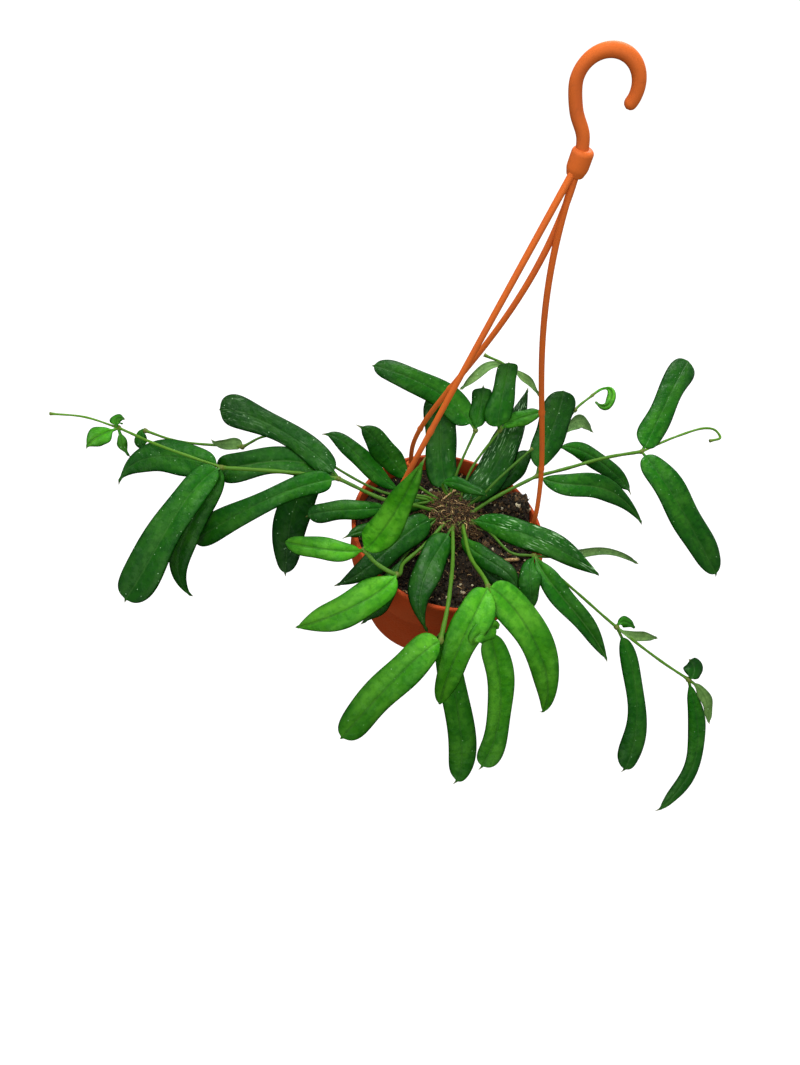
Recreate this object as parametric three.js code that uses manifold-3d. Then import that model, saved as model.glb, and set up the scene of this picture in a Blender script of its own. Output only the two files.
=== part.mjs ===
// Potted hoya: a trailing house plant with long waxy leaves, rooted in a moss plug in potting mix,
// in a terracotta-coloured plastic hanging pot on a moulded three-arm hanger.
// Millimetres, +Z up. Places below are measured from the centre of the pot's rim, +Y to the back.
// The exported group is lowered so that its origin is the seat of the hanger's hook.

import * as THREE from 'three';
import { mergeVertices } from 'three/addons/utils/BufferGeometryUtils.js';
import Module from 'manifold-3d';

const wasm = await Module();
wasm.setup();

// Pot
const POT_HEIGHT = 90;
const RIM_RADIUS = 60;
const LIP_RADIUS = 60.7;
const WALL = 1.8;
const COLLAR_HEIGHT = 28;
const COLLAR_FOOT_RADIUS = 58.6;
const SHOULDER_RADIUS = 55;
const BASE_RADIUS = 41;
const POT_SEGMENTS = 36;
const DRAIN_HOLES = 8;
const DRAIN_CIRCLE = 31;
const DRAIN_RADIUS = 3.5;

// Hanger and its three ears on the pot
const ARM_AZIMUTHS = [20, 128, 218];
const FOOT_RADIUS = 55;
const ARM_THICKNESS = 2.9;
const NUB_RADIUS = 2;
const ARMS_JOIN_HEIGHT = 225;
const HOOK_RADIUS = 10.4;
const HOOK_THICKNESS = 4.8;
const HOOK_CENTRE_HEIGHT = 249;
const HOOK_SEAT_HEIGHT = HOOK_CENTRE_HEIGHT + HOOK_RADIUS - HOOK_THICKNESS / 2;
const EAR_TOP = -1.5;
const EAR_THICKNESS = 2.5;
const EAR_WIDTH = 7;
const EAR_HOLE_RADIUS = 1.8;
const FOOT_KNOB_RADIUS = 2.4;
const CLEARANCE = 0.3;

// Potting mix and moss plug
const MIX_LEVEL = -12;
const MIX_SEGMENTS = 30;
const PLUG_CENTRE = new THREE.Vector3(0, 12, 0);
const PLUG_RADIUS = 18;
const PLUG_FOOT_RADIUS = 11;
const PLUG_TOP = -3.5;
const PLUG_CROWN = 1.5;
const PLUG_FOOT = -45;
const ROOT_DEPTH = -26;
const ROOT_HOLE_GAP = 0.4;

// Leaves and stems
const STEM_RADIUS = 1.15;
const TWIG_RADIUS = 0.85;
const NODE_RADIUS = 2;
const BLADE_HALF_THICKNESS = 0.4;
const STALK_HALF_THICKNESS = 0.9;
const MARGIN_RIPPLE = 0.08;
const MARGIN_LIFT = 0.9;
const MUCRO_LENGTH = 4;
const SKYWARD = [0, -0.6, 0.8];
const TURNED_UNDER = [0, 0.5, -0.7];
const BLADE_STATIONS = [0, 0.08, 0.24, 0.43, 0.63, 0.82, 0.95, 1];
const SHORT_BLADE_STATIONS = [0, 0.12, 0.38, 0.66, 0.9, 1];
const SHORT_LEAF = 34;

const rad = THREE.MathUtils.degToRad;
const vec = (p) => new THREE.Vector3(...p);

// Solids: a closed three.js geometry becomes a Manifold for joins and cuts, and goes back at the end.

function toSolid(geometry) {
  const bare = geometry.clone();
  bare.deleteAttribute('normal');
  bare.deleteAttribute('uv');
  const merged = mergeVertices(bare, 1e-4);
  const index = merged.index.array;
  const kept = [];
  for (let i = 0; i < index.length; i += 3) {
    const [a, b, c] = [index[i], index[i + 1], index[i + 2]];
    if (a !== b && b !== c && c !== a) kept.push(a, b, c);
  }
  return new wasm.Manifold(new wasm.Mesh({
    numProp: 3,
    vertProperties: new Float32Array(merged.attributes.position.array),
    triVerts: new Uint32Array(kept),
  }));
}

function toGeometry(solid) {
  const mesh = solid.getMesh();
  const geometry = new THREE.BufferGeometry();
  geometry.setAttribute('position', new THREE.BufferAttribute(mesh.vertProperties, 3));
  geometry.setIndex(new THREE.BufferAttribute(mesh.triVerts, 1));
  geometry.computeVertexNormals();
  return geometry;
}

const join = (solids) => solids.reduce((all, one) => all.add(one));
const cut = (solid, tools) => tools.reduce((left, tool) => left.subtract(tool), solid);

function upright(radius, from, to, x, y, sides) {
  const geometry = new THREE.CylinderGeometry(radius, radius, to - from, sides);
  geometry.rotateX(Math.PI / 2);
  geometry.translate(x, y, (from + to) / 2);
  return toSolid(geometry);
}

function turned(profile, segments) {
  const geometry = new THREE.LatheGeometry(profile.map(([r, z]) => new THREE.Vector2(r, z)), segments);
  geometry.rotateX(Math.PI / 2);
  return geometry;
}

function tube(points, radius, sides, steps) {
  const section = new THREE.Shape();
  for (let i = 0; i < sides; i += 1) {
    const angle = (2 * Math.PI * i) / sides;
    const [x, y] = [radius * Math.cos(angle), radius * Math.sin(angle)];
    if (i === 0) section.moveTo(x, y);
    else section.lineTo(x, y);
  }
  section.closePath();
  const extrudePath = new THREE.CatmullRomCurve3(points.map(vec), false, 'centripetal');
  return toSolid(new THREE.ExtrudeGeometry(section, { steps, bevelEnabled: false, extrudePath }));
}

// One leaf: its rib is a cubic through four points, from where the stalk leaves the stem to the end of
// the blade. Three widths, at 20, 50 and 80 % of the blade, and a cap give the outline: heel and tip
// are the powers of the cap at its two ends, blunter as they are larger. The margin ripples and lifts
// a little, and a fine hooked point, the mucro, ends the blade.

function ribPoint(rib, u) {
  const knots = [0, 1 / 3, 2 / 3, 1];
  const point = new THREE.Vector3();
  rib.forEach((p, i) => {
    let weight = 1;
    knots.forEach((knot, j) => {
      if (j !== i) weight *= (u - knot) / (knots[i] - knot);
    });
    point.addScaledVector(vec(p), weight);
  });
  return point;
}

function bladeHalfWidth([near, middle, far], k, side, { phase, heel, tip }) {
  const width = (near * (k - 0.5) * (k - 0.8)) / 0.18
    - (middle * (k - 0.2) * (k - 0.8)) / 0.09
    + (far * (k - 0.2) * (k - 0.5)) / 0.18;
  const cap = Math.sqrt(Math.max(1 - Math.abs(2 * k - 1) ** (k < 0.5 ? heel : tip), 0));
  const ripple = 1 + MARGIN_RIPPLE * Math.sin(2 * Math.PI * 1.7 * k + phase + 1.9 * side);
  return Math.max(0.5 * width * cap * ripple, STALK_HALF_THICKNESS);
}

function leafSolid(rib, widths, look = {}) {
  const { face = SKYWARD, fold = 0, stalk = 5, phase = 0, mucro = MUCRO_LENGTH, heel = 3.6, tip = 5 } = look;
  const up = vec(face).normalize();
  let length = 0;
  for (let i = 1; i < rib.length; i += 1) length += vec(rib[i]).distanceTo(vec(rib[i - 1]));
  const stalkShare = stalk / length;
  const shares = length < SHORT_LEAF ? SHORT_BLADE_STATIONS : BLADE_STATIONS;
  const stations = [[0, 0], ...shares.map((k) => [stalkShare + k * (1 - stalkShare), k])];
  const rings = stations.map(([u, k]) => {
    const centre = ribPoint(rib, u);
    const along = ribPoint(rib, u + 0.01).sub(ribPoint(rib, u - 0.01)).normalize();
    const out = up.clone().addScaledVector(along, -up.dot(along)).normalize();
    const across = along.clone().cross(out);
    const thick = THREE.MathUtils.lerp(STALK_HALF_THICKNESS, BLADE_HALF_THICKNESS, Math.min(k / 0.07, 1));
    const lift = MARGIN_LIFT * Math.min(k, 1 - k, 0.25) * 4;
    const spots = [-1, 0, 1].map((side) => {
      const half = bladeHalfWidth(widths, k, side, { phase, heel, tip });
      const rise = half * Math.abs(side) * Math.sin(rad(fold))
        + lift * Math.abs(side) * Math.sin(2 * Math.PI * 1.3 * k + phase + side);
      const sideways = side * half * Math.cos(rad(fold));
      return centre.clone().addScaledVector(across, sideways).addScaledVector(out, rise);
    });
    return { along, out, thick, spots };
  });
  const last = rings[rings.length - 1];
  const hook = last.along.clone().multiplyScalar(0.8).addScaledVector(last.out, -0.6).multiplyScalar(mucro);
  const needle = last.spots[1].clone().add(hook);
  rings.push({
    ...last,
    thick: 0.35,
    spots: [-0.35, 0, 0.35].map((s) => needle.clone().addScaledVector(last.along.clone().cross(last.out), s)),
  });

  const positions = [];
  rings.forEach(({ out, thick, spots }) => {
    spots.forEach((spot) => positions.push(...spot.clone().addScaledVector(out, thick)));
    spots.forEach((spot) => positions.push(...spot.clone().addScaledVector(out, -thick)));
  });
  const index = [];
  const quad = (a, b, c, d) => index.push(a, b, c, a, c, d);
  const end = (rings.length - 1) * 6;
  for (let side = 0; side < 2; side += 1) {
    quad(side, side + 3, side + 4, side + 1);
    quad(end + side, end + side + 1, end + side + 4, end + side + 3);
  }
  for (let here = 0; here < end; here += 6) {
    const next = here + 6;
    for (let side = 0; side < 2; side += 1) {
      const [a, b, c, d] = [here + side, here + side + 1, next + side + 1, next + side];
      index.push(a, b, c, a, c, d);
      index.push(a + 3, c + 3, b + 3, a + 3, d + 3, c + 3);
    }
    quad(here, next, next + 3, here + 3);
    quad(here + 2, here + 5, next + 5, next + 2);
  }
  const geometry = new THREE.BufferGeometry();
  geometry.setAttribute('position', new THREE.BufferAttribute(new Float32Array(positions), 3));
  geometry.setIndex(index);
  return toSolid(geometry);
}

// Stems: each has a straight root in the plug, and a knot at each leaf node.

const rootHoles = [];

function rootAt([x, y], radius = STEM_RADIUS) {
  rootHoles.push(upright(radius + ROOT_HOLE_GAP, ROOT_DEPTH - 1, 6, x, y, 6));
  return upright(radius, ROOT_DEPTH, 1, x, y, 6);
}

const stem = (points, radius = STEM_RADIUS) => tube(points, radius, 6, (points.length - 1) * 2);

function knot(place, radius = NODE_RADIUS) {
  const geometry = new THREE.IcosahedronGeometry(radius, 0);
  geometry.translate(...place);
  return toSolid(geometry);
}

function vineLeftLong() {
  const root = [-11.5, 9];
  const fork = [-73, 2, 14];
  const farNode = [-142, -10, 10];
  const youngNode = [-215, 6, 2];
  return join([
    rootAt(root),
    stem([[...root, 0], [-25, 3, 7], [-42, -3, 12], fork]),
    stem([fork, [-101, -3, 14], farNode]),
    stem([farNode, [-179, -9.5, 14], youngNode], TWIG_RADIUS),
    stem([youngNode, [-239, 9, 0], [-260, 6, -2]], TWIG_RADIUS),
    knot(fork),
    knot(farNode),
    knot(youngNode, 1.6),
    leafSolid([fork, [-100, 8.5, 12], [-124.5, 2, 8], [-147, -5.5, 0]], [18, 17, 19], {
      fold: 10, stalk: 6, phase: 1, tip: 6,
    }),
    leafSolid([fork, [-97, 13, 22], [-129, 21, 26], [-154.5, 22.5, 24]], [17, 15, 21], {
      phase: 2.5, mucro: 1, heel: 3.4, tip: 4, stalk: 7,
    }),
    leafSolid([fork, [-98, -15, 12], [-123, -30, -2], [-150.5, -39, -30]], [14, 13, 18], {
      fold: 6, phase: 4, heel: 7,
    }),
    leafSolid([fork, [-93, 1, 0], [-98, -10, -30], [-95, -27, -58]], [20, 22, 24], {
      stalk: 5, phase: 5, tip: 2.2,
    }),
    leafSolid([farNode, [-165, -8, 7], [-187.5, -12, 3], [-201.5, -25, -9]], [19, 20, 12], {
      stalk: 4, phase: 0.5, heel: 7,
    }),
    leafSolid([farNode, [-154, -34, 4], [-163, -61, -14], [-173.5, -86.5, -37]], [19, 20, 25], {
      fold: 12, stalk: 4, heel: 5, tip: 4.5,
    }),
    leafSolid([farNode, [-147, -27.5, -4], [-154, -51, -26], [-144.5, -64.5, -52]], [14, 16, 11], {
      stalk: 4, phase: 3,
    }),
    leafSolid([youngNode, [-218, 0, 3], [-222, -6, 3], [-226, -13, 0]], [8, 13, 10], {
      stalk: 4, mucro: 2,
    }),
    leafSolid([youngNode, [-216, 6, 5], [-216, 8, 7], [-212, 9, 8]], [6, 8, 6], { stalk: 2, mucro: 1 }),
    leafSolid([youngNode, [-211, 0, 0], [-209, -3, -3], [-205, -5, -8]], [5, 7, 4], { stalk: 2, mucro: 2 }),
  ]);
}

function vineLeftBack() {
  const root = [-12, 14];
  const node = [-138, 14.5, 5];
  const tip = [-200, 11, 0];
  return join([
    rootAt(root, TWIG_RADIUS),
    stem([
      [...root, 0],
      [-17, 13, 6],
      [-27, 10, 8],
      [-43, 5, 9],
      [-80.5, 19, 5],
      [-100.5, 27.5, 7],
      [-125.5, 26.5, 8],
      node,
    ], TWIG_RADIUS),
    stem([node, [-177, 8, 2], tip], TWIG_RADIUS),
    knot(node, 1.6),
    knot(tip, 1.4),
    leafSolid([node, [-142, 14.5, 6], [-149, 11.5, 6], [-156, 12.5, 5]], [8, 7, 4],
      { face: TURNED_UNDER, stalk: 2, mucro: 2 }),
    leafSolid([tip, [-202, 9, 0], [-201, 5, -3], [-198, 3, -6]], [5, 8, 8], { stalk: 2, mucro: 1 }),
  ]);
}

function vineRightLong() {
  const root = [11.5, 15];
  const fork = [47, 46, 16];
  const farNode = [117, 95, 16];
  const shootNode = [63, 97, 34];
  return join([
    rootAt(root),
    stem([[...root, 0], [23, 24, 9], [35, 35, 13], fork]),
    stem([fork, [63, 56, 18], [92, 78, 18], farNode]),
    stem([
      farNode,
      [141, 117, 18],
      [164, 135, 18],
      [173, 138, 16],
      [177, 134, 14],
      [170, 130, 12],
    ], TWIG_RADIUS),
    stem([fork, [53, 66, 22], shootNode, [73, 111, 39]], TWIG_RADIUS),
    knot(fork),
    knot(farNode),
    knot(shootNode, 1.6),
    leafSolid([fork, [47, 60, 28], [49, 75, 40], [49, 90, 52]], [18, 20, 20], {
      stalk: 6, phase: 2, tip: 8, mucro: 0.5,
    }),
    leafSolid([fork, [70, 43, 20], [95, 52, 14], [125, 50, -4]], [15, 16, 12], {
      fold: 8, phase: 4.2, tip: 2.6,
    }),
    leafSolid([[53, 66, 22], [71, 73.5, 22], [97.5, 84.5, 4], [117.5, 78.5, -6]], [10, 13, 11], {
      stalk: 10, phase: 1,
    }),
    leafSolid([[54, 70, 25], [62, 83, 31], [68, 89, 32], [77, 88, 28]], [6, 9, 7],
      { face: TURNED_UNDER, mucro: 2 }),
    leafSolid([[73, 111, 39], [84, 118, 41], [85, 108, 38], [76, 107, 37]], [3, 6, 5], {
      stalk: 2, mucro: 1,
    }),
    leafSolid([farNode, [123, 115, 26], [129, 138, 38], [138.5, 167, 46]], [20, 17, 19], {
      phase: 2, mucro: 1, tip: 8,
    }),
    leafSolid([farNode, [139, 76, 8], [163, 65, -10], [194, 51, -36]], [21, 21, 26], {
      fold: 10, stalk: 4, heel: 4.5, tip: 2.2, mucro: 5,
    }),
  ]);
}

function vineRightFront() {
  const root = [12, 9.5];
  const fork = [53, -11, 7];
  const node = [112, -34, -10];
  const farNode = [162, -49, -22];
  return join([
    rootAt(root, TWIG_RADIUS),
    stem([[...root, 0], [25, 3, 1], [40, -11, 4], fork], TWIG_RADIUS),
    stem([fork, [83, -24, 0], node, [143, -44, -18], farNode], TWIG_RADIUS),
    knot(fork, 1.8),
    knot(node, 1.6),
    knot(farNode, 1.6),
    leafSolid([[...root, 0], [37, 2, 10], [63, -6, 14], [93, -11, 6]], [15, 17, 13], {
      stalk: 4, phase: 2.4, tip: 3, heel: 7,
    }),
    leafSolid([fork, [77, 0, 4], [98, 11, 2], [122, 15, -5]], [6, 5, 4],
      { face: TURNED_UNDER, stalk: 10, mucro: 2 }),
    leafSolid([fork, [68, -30, 6], [88, -40, -4], [109, -52, -18]], [14, 14, 10], {
      fold: 18, stalk: 4, phase: 2,
    }),
    leafSolid([fork, [50.5, -28.5, 12], [53.5, -37.5, 7], [56.5, -44.5, -2]], [12, 13, 9], {
      stalk: 3, mucro: 2,
    }),
    leafSolid([node, [133, -49, -34], [146, -68, -60], [148, -88, -82]], [12, 12, 15], {
      stalk: 8, phase: 3,
    }),
    leafSolid([node, [114, -31, -8], [118, -30, -8], [123, -31, -10]], [5, 7, 5], { stalk: 2, mucro: 1 }),
    leafSolid([node, [121, -36, -11], [130, -34, -12], [138, -32, -13]], [5, 6, 4],
      { face: TURNED_UNDER, stalk: 3, mucro: 1 }),
    leafSolid([farNode, [163, -47, -19], [163, -43, -17], [160, -40, -15]], [11, 12, 11], {
      stalk: 2, mucro: 1,
    }),
    leafSolid([farNode, [179, -61, -46], [188, -77, -70], [176, -103, -92]], [10, 11, 10], { phase: 1 }),
    leafSolid([farNode, [172, -50, -28], [179, -54, -34], [183, -63, -40]], [6, 7, 6],
      { face: TURNED_UNDER, mucro: 2 }),
  ]);
}

function stemFrontLeft() {
  const root = [-3.5, 1];
  const node = [-24.5, -62, 24];
  const tip = [-45, -54, 27];
  return join([
    rootAt(root),
    stem([[...root, 0], [-12, -20, 2], [-22, -42, 8], node, [-36, -60, 26], tip]),
    knot(node),
    knot(tip),
    leafSolid([tip, [-58, -61, 30], [-74, -62, 28], [-87, -59, 22]], [11, 12, 10], { stalk: 3, phase: 1 }),
    leafSolid([tip, [-38, -54, 46], [-32, -51, 70], [-27, -44, 93]], [18, 16, 11], {
      stalk: 3, phase: 2, tip: 2.4,
    }),
    leafSolid([node, [-34, -79, 24], [-51, -90.5, 14], [-68, -96, 2]], [17, 18, 13], {
      stalk: 3, phase: 3, tip: 3,
    }),
  ]);
}

function stemFront() {
  const root = [2, 1];
  const tip = [5, -98, 30];
  return join([
    rootAt(root),
    stem([[...root, 0], [5, -31, 10], [5, -65, 28], [5, -82, 33], tip]),
    knot(tip),
    leafSolid([tip, [-5, -110, 27], [-17, -124, 8], [-30, -140, -19]], [18, 17, 17], {
      stalk: 3, phase: 5, tip: 8,
    }),
    leafSolid([tip, [14, -88, -2], [35, -104, -50], [43, -124, -80]], [12, 16, 17], {
      stalk: 12, phase: 2, tip: 4,
    }),
    leafSolid([[...root, 0], [-5, -29, 7], [-9, -58, 10], [-0.5, -76, 0]], [17, 16, 10], {
      stalk: 10, phase: 5, heel: 9, tip: 2,
    }),
  ]);
}

function stemFrontRight() {
  const root = [8, 3.5];
  const node = [23, -64, 38];
  const tip = [30, -77, 18];
  return join([
    rootAt(root),
    stem([[...root, 0], [14, -30, 15], node, [27, -71, 32], tip]),
    knot(node),
    knot(tip),
    leafSolid([node, [18, -85, 35], [15, -100, 17], [16, -110, -13]], [20, 17, 13], {
      fold: 8, stalk: 3, phase: 1, heel: 4, mucro: 9,
    }),
    leafSolid([node, [43, -71, 30], [66, -81, 4], [77, -91, -28]], [20, 18, 13], {
      fold: 6, stalk: 3, phase: 4, heel: 4, mucro: 8,
    }),
    leafSolid([tip, [45, -88, -8], [54, -101, -36], [53, -119, -60]], [17, 14, 15], {
      fold: 8, stalk: 3, heel: 4, tip: 7, mucro: 5,
    }),
    leafSolid([tip, [31.5, -80, 27], [24, -89.5, 33], [22, -94.5, 29]], [7, 11, 9], { stalk: 2, mucro: 1 }),
    leafSolid([[...root, 0], [16, -16, 4], [31.5, -26, 8], [45.5, -36, 5]], [11, 12, 10], {
      stalk: 8, phase: 1, mucro: 2, heel: 4,
    }),
    leafSolid([[...root, 0], [21, -18, -3], [31, -27, -2], [40, -32, -4]], [8, 9, 8], {
      stalk: 8, mucro: 2,
    }),
  ]);
}

function stemBackLeft() {
  const root = [-4, 23];
  const node = [1, 56, 31];
  return join([
    rootAt(root, TWIG_RADIUS),
    stem([[...root, 0], [-3, 38, 12], node], TWIG_RADIUS),
    knot(node, 1.8),
    leafSolid([node, [-22, 63, 44], [-47, 61, 54], [-70, 61, 56]], [19, 16, 14], {
      stalk: 5, phase: 3, mucro: 3, tip: 6, heel: 5,
    }),
    leafSolid([node, [0.5, 60.5, 37], [0, 68, 43], [-1.5, 75, 50]], [11, 13, 13], {
      stalk: 3, mucro: 2, tip: 14,
    }),
    leafSolid([[...root, 0], [-14, 41, 10], [-21, 57, 25], [-24, 75, 36]], [20, 20, 22], {
      stalk: 7, phase: 1, heel: 10, tip: 8,
    }),
    leafSolid([[...root, 0], [-9.5, 23.5, 12], [2, 21.5, 16], [16.5, 19.5, 15]], [8, 8, 7], {
      stalk: 13, mucro: 2, heel: 3, tip: 3,
    }),
  ]);
}

function stemBack() {
  const root = [3, 23];
  const node = [16, 61, 32];
  const top = [11, 95, 54];
  return join([
    rootAt(root, TWIG_RADIUS),
    stem([[...root, 0], [5, 40, 12], node], TWIG_RADIUS),
    stem([node, [15, 81, 40], top, [-6, 97, 58]], TWIG_RADIUS),
    knot(node, 1.8),
    knot(top, 1.6),
    leafSolid([node, [12, 63.5, 44], [11, 76, 55], [9.5, 86, 65]], [19, 15, 13], {
      phase: 1, mucro: 0.5, tip: 14, heel: 4,
    }),
    leafSolid([node, [23, 67, 37], [30, 70, 41], [38, 75, 43]], [9, 10, 9], { stalk: 3, mucro: 2 }),
    leafSolid([top, [-1, 85, 60], [-9, 73, 58], [-15, 64, 54]], [5, 6, 4],
      { face: TURNED_UNDER, stalk: 3, mucro: 2 }),
    leafSolid([top, [20, 92, 54], [28, 89, 51], [35, 86, 47]], [4, 5, 3],
      { face: TURNED_UNDER, stalk: 3, mucro: 2 }),
    leafSolid([[...root, 0], [16.5, 38.5, 10], [24.5, 68, 23], [28.5, 97, 39]], [20, 21, 15], {
      stalk: 4, phase: 3, tip: 2,
    }),
    leafSolid([[...root, 0], [25, 43, 0], [33, 53, 10], [40, 60, 21]], [12, 14, 12], {
      stalk: 16, mucro: 2,
    }),
  ]);
}

function cutStem() {
  const root = [8.5, 20];
  return join([
    rootAt(root, TWIG_RADIUS),
    stem([[...root, 0], [15, 24, 8], [23, 33, 19], [38, 50.5, 34]], TWIG_RADIUS),
  ]);
}

function crownLeft() {
  const root = [-10, 19, 0];
  return join([
    rootAt([root[0], root[1]]),
    leafSolid([root, [-41, -4, 6], [-65, -16, 8], [-84, -22, 2]], [12, 12, 12], {
      stalk: 30, phase: 1, tip: 7,
    }),
    leafSolid([root, [-41, 11, 10], [-66, 16, 24], [-86, 18, 32]], [11, 12, 9], { stalk: 25, phase: 2 }),
    leafSolid([root, [-37, 19, 16], [-53, 18, 34], [-66, 17, 46]], [15, 15, 11], { stalk: 20, phase: 4 }),
    leafSolid([root, [-17, 18, -3], [-23, 12, -2], [-31, 2, 0]], [8, 9, 7], { stalk: 7, mucro: 2 }),
  ]);
}

function crownFront() {
  const root = [-8.5, 4, 0];
  return join([
    rootAt([root[0], root[1]]),
    leafSolid([root, [-25, -22, 9], [-38, -48, 11], [-54, -66, 6]], [18, 17, 12], {
      stalk: 7, phase: 2, tip: 2.4, heel: 9,
    }),
    leafSolid([root, [-27, -13, 3], [-42, -22, 7], [-57, -34, 9]], [8, 9, 8], { stalk: 15, phase: 3 }),
    leafSolid([root, [-26, -46, 3], [-29, -67.5, 4], [-35, -79, -4]], [11, 13, 9], {
      stalk: 24, phase: 1, tip: 2.4,
    }),
  ]);
}

// Hanger: three arms rise from the pot's ears, bow, and join under the hook.

const ARM_BOWS = [
  { bow: [-5, -3], sway: [9, 14] },
  { bow: [-1, -16], sway: [-14, 1] },
  { bow: [-2, -7], sway: [1, 8] },
];

function footPlace(azimuth) {
  return [FOOT_RADIUS * Math.cos(rad(azimuth)), FOOT_RADIUS * Math.sin(rad(azimuth))];
}

function armPoint(azimuth, { bow, sway }, share) {
  const [x, y] = footPlace(azimuth);
  const hump = 4 * share * (1 - share);
  const tilt = hump * (1 - 2 * share);
  return [
    x * (1 - share) + bow[0] * hump + sway[0] * tilt,
    y * (1 - share) + bow[1] * hump + sway[1] * tilt,
    THREE.MathUtils.lerp(4, ARMS_JOIN_HEIGHT, share),
  ];
}

function hangerSolid() {
  const pieces = [];
  ARM_AZIMUTHS.forEach((azimuth, i) => {
    const points = Array.from({ length: 11 }, (_, n) => armPoint(azimuth, ARM_BOWS[i], n / 10));
    pieces.push(tube(points, ARM_THICKNESS / 2, 6, 12));
    const [x, y] = footPlace(azimuth);
    pieces.push(upright(ARM_THICKNESS / 2, EAR_TOP - EAR_THICKNESS - 2, 5, x, y, 6));
    pieces.push(upright(FOOT_KNOB_RADIUS, EAR_TOP + CLEARANCE, EAR_TOP + CLEARANCE + 1.6, x, y, 8));
    pieces.push(upright(FOOT_KNOB_RADIUS, EAR_TOP - EAR_THICKNESS - CLEARANCE - 2,
      EAR_TOP - EAR_THICKNESS - CLEARANCE, x, y, 8));
    [0.21, 0.42].forEach((share) => pieces.push(knot(armPoint(azimuth, ARM_BOWS[i], share), NUB_RADIUS)));
  });
  pieces.push(upright(4.2, ARMS_JOIN_HEIGHT - 7, ARMS_JOIN_HEIGHT + 3, 0, 0, 10));
  const hook = [
    [0, 0, ARMS_JOIN_HEIGHT],
    [-2, 0, ARMS_JOIN_HEIGHT + 7],
    [-7, 0, ARMS_JOIN_HEIGHT + 14],
  ];
  for (let angle = 190; angle >= -30; angle -= 20) {
    hook.push([
      HOOK_RADIUS * Math.cos(rad(angle)), 0, HOOK_CENTRE_HEIGHT + HOOK_RADIUS * Math.sin(rad(angle)),
    ]);
  }
  pieces.push(tube(hook, HOOK_THICKNESS / 2, 8, 18));
  return join(pieces);
}

// Pot: one moulded shell with a collar, three ears inside the rim and drain holes in its base.

function potSolid() {
  const shell = toSolid(turned([
    [0, -POT_HEIGHT],
    [BASE_RADIUS, -POT_HEIGHT],
    [SHOULDER_RADIUS, -COLLAR_HEIGHT],
    [COLLAR_FOOT_RADIUS, -COLLAR_HEIGHT],
    [RIM_RADIUS - 0.2, -3.4],
    [LIP_RADIUS, -2.8],
    [LIP_RADIUS, -0.8],
    [RIM_RADIUS, 0],
    [RIM_RADIUS - WALL + 0.4, 0],
    [RIM_RADIUS - WALL, -0.6],
    [COLLAR_FOOT_RADIUS - WALL, -COLLAR_HEIGHT + 1],
    [SHOULDER_RADIUS - WALL, -COLLAR_HEIGHT - 2],
    [BASE_RADIUS - WALL, -POT_HEIGHT + WALL],
    [0, -POT_HEIGHT + WALL],
  ], POT_SEGMENTS));
  const ears = ARM_AZIMUTHS.map((azimuth) => {
    const reach = RIM_RADIUS - 1 - (FOOT_RADIUS - EAR_WIDTH / 2);
    const geometry = new THREE.BoxGeometry(reach, EAR_WIDTH, EAR_THICKNESS);
    geometry.translate(RIM_RADIUS - 1 - reach / 2, 0, EAR_TOP - EAR_THICKNESS / 2);
    geometry.rotateZ(rad(azimuth));
    return toSolid(geometry);
  });
  const holes = ARM_AZIMUTHS.map((azimuth) => upright(EAR_HOLE_RADIUS, -8, 2, ...footPlace(azimuth), 8));
  for (let i = 0; i < DRAIN_HOLES; i += 1) {
    const angle = (2 * Math.PI * i) / DRAIN_HOLES;
    const [x, y] = [DRAIN_CIRCLE * Math.cos(angle), DRAIN_CIRCLE * Math.sin(angle)];
    holes.push(upright(DRAIN_RADIUS, -POT_HEIGHT - 1, -POT_HEIGHT + 5, x, y, 8));
  }
  return cut(join([shell, ...ears]), holes);
}

// Potting mix: it fills the pot, with an uneven crumbly top that is heaped at the right back.

function crumbs(x, y) {
  return 0.8 * Math.sin(0.28 * x + 1.1) * Math.cos(0.25 * y) + 0.4 * Math.sin(0.17 * x - 0.33 * y);
}

function mixHeight(x, y) {
  const heap = 19 * Math.exp(-((x - 41) ** 2 + (y - 32) ** 2) / 140);
  return MIX_LEVEL + heap + crumbs(x, y);
}

function mixSolid() {
  const gap = CLEARANCE + 0.2;
  const skinRadii = [49, 41, 33, 26, 19, 12, 6];
  const geometry = turned([
    [0, -POT_HEIGHT + WALL + gap],
    [BASE_RADIUS - WALL - gap, -POT_HEIGHT + WALL + gap],
    [SHOULDER_RADIUS - WALL - gap, -COLLAR_HEIGHT - 2],
    [COLLAR_FOOT_RADIUS - WALL - gap, -COLLAR_HEIGHT + 2],
    [COLLAR_FOOT_RADIUS - WALL, MIX_LEVEL],
    ...skinRadii.map((r) => [r, MIX_LEVEL]),
    [0, MIX_LEVEL],
  ], MIX_SEGMENTS);
  const place = geometry.attributes.position;
  for (let i = 0; i < place.count; i += 1) {
    if (Math.abs(place.getZ(i) - MIX_LEVEL) < 0.01) place.setZ(i, mixHeight(place.getX(i), place.getY(i)));
  }
  const knobRooms = ARM_AZIMUTHS.map((azimuth) => upright(5, MIX_LEVEL, 6, ...footPlace(azimuth), 8));
  const ground = cut(toSolid(geometry), [...knobRooms, plugBody(0.4)]);
  return join([ground, ...PERLITE.map(perlite), ...STRAWS.map(straw)]);
}

// Perlite grains as [x, y, radius], straws as the two ends on the ground and a radius.

const PERLITE = [[40, 28, 2.6], [-20, 22, 1.8], [-16, 35, 1.5], [-12, 31, 1.4], [31, 28, 1.4]];
const STRAWS = [
  [[2, 56], [0, 45], 0.9],
  [[-1, 41], [-3, 34], 0.8],
  [[2, 38], [-4, 33], 0.8],
  [[-21, -26], [-12, -16], 0.8],
  [[-13, -15], [-3, -9], 0.8],
  [[38, -7], [48, -3], 1.1],
];

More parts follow.
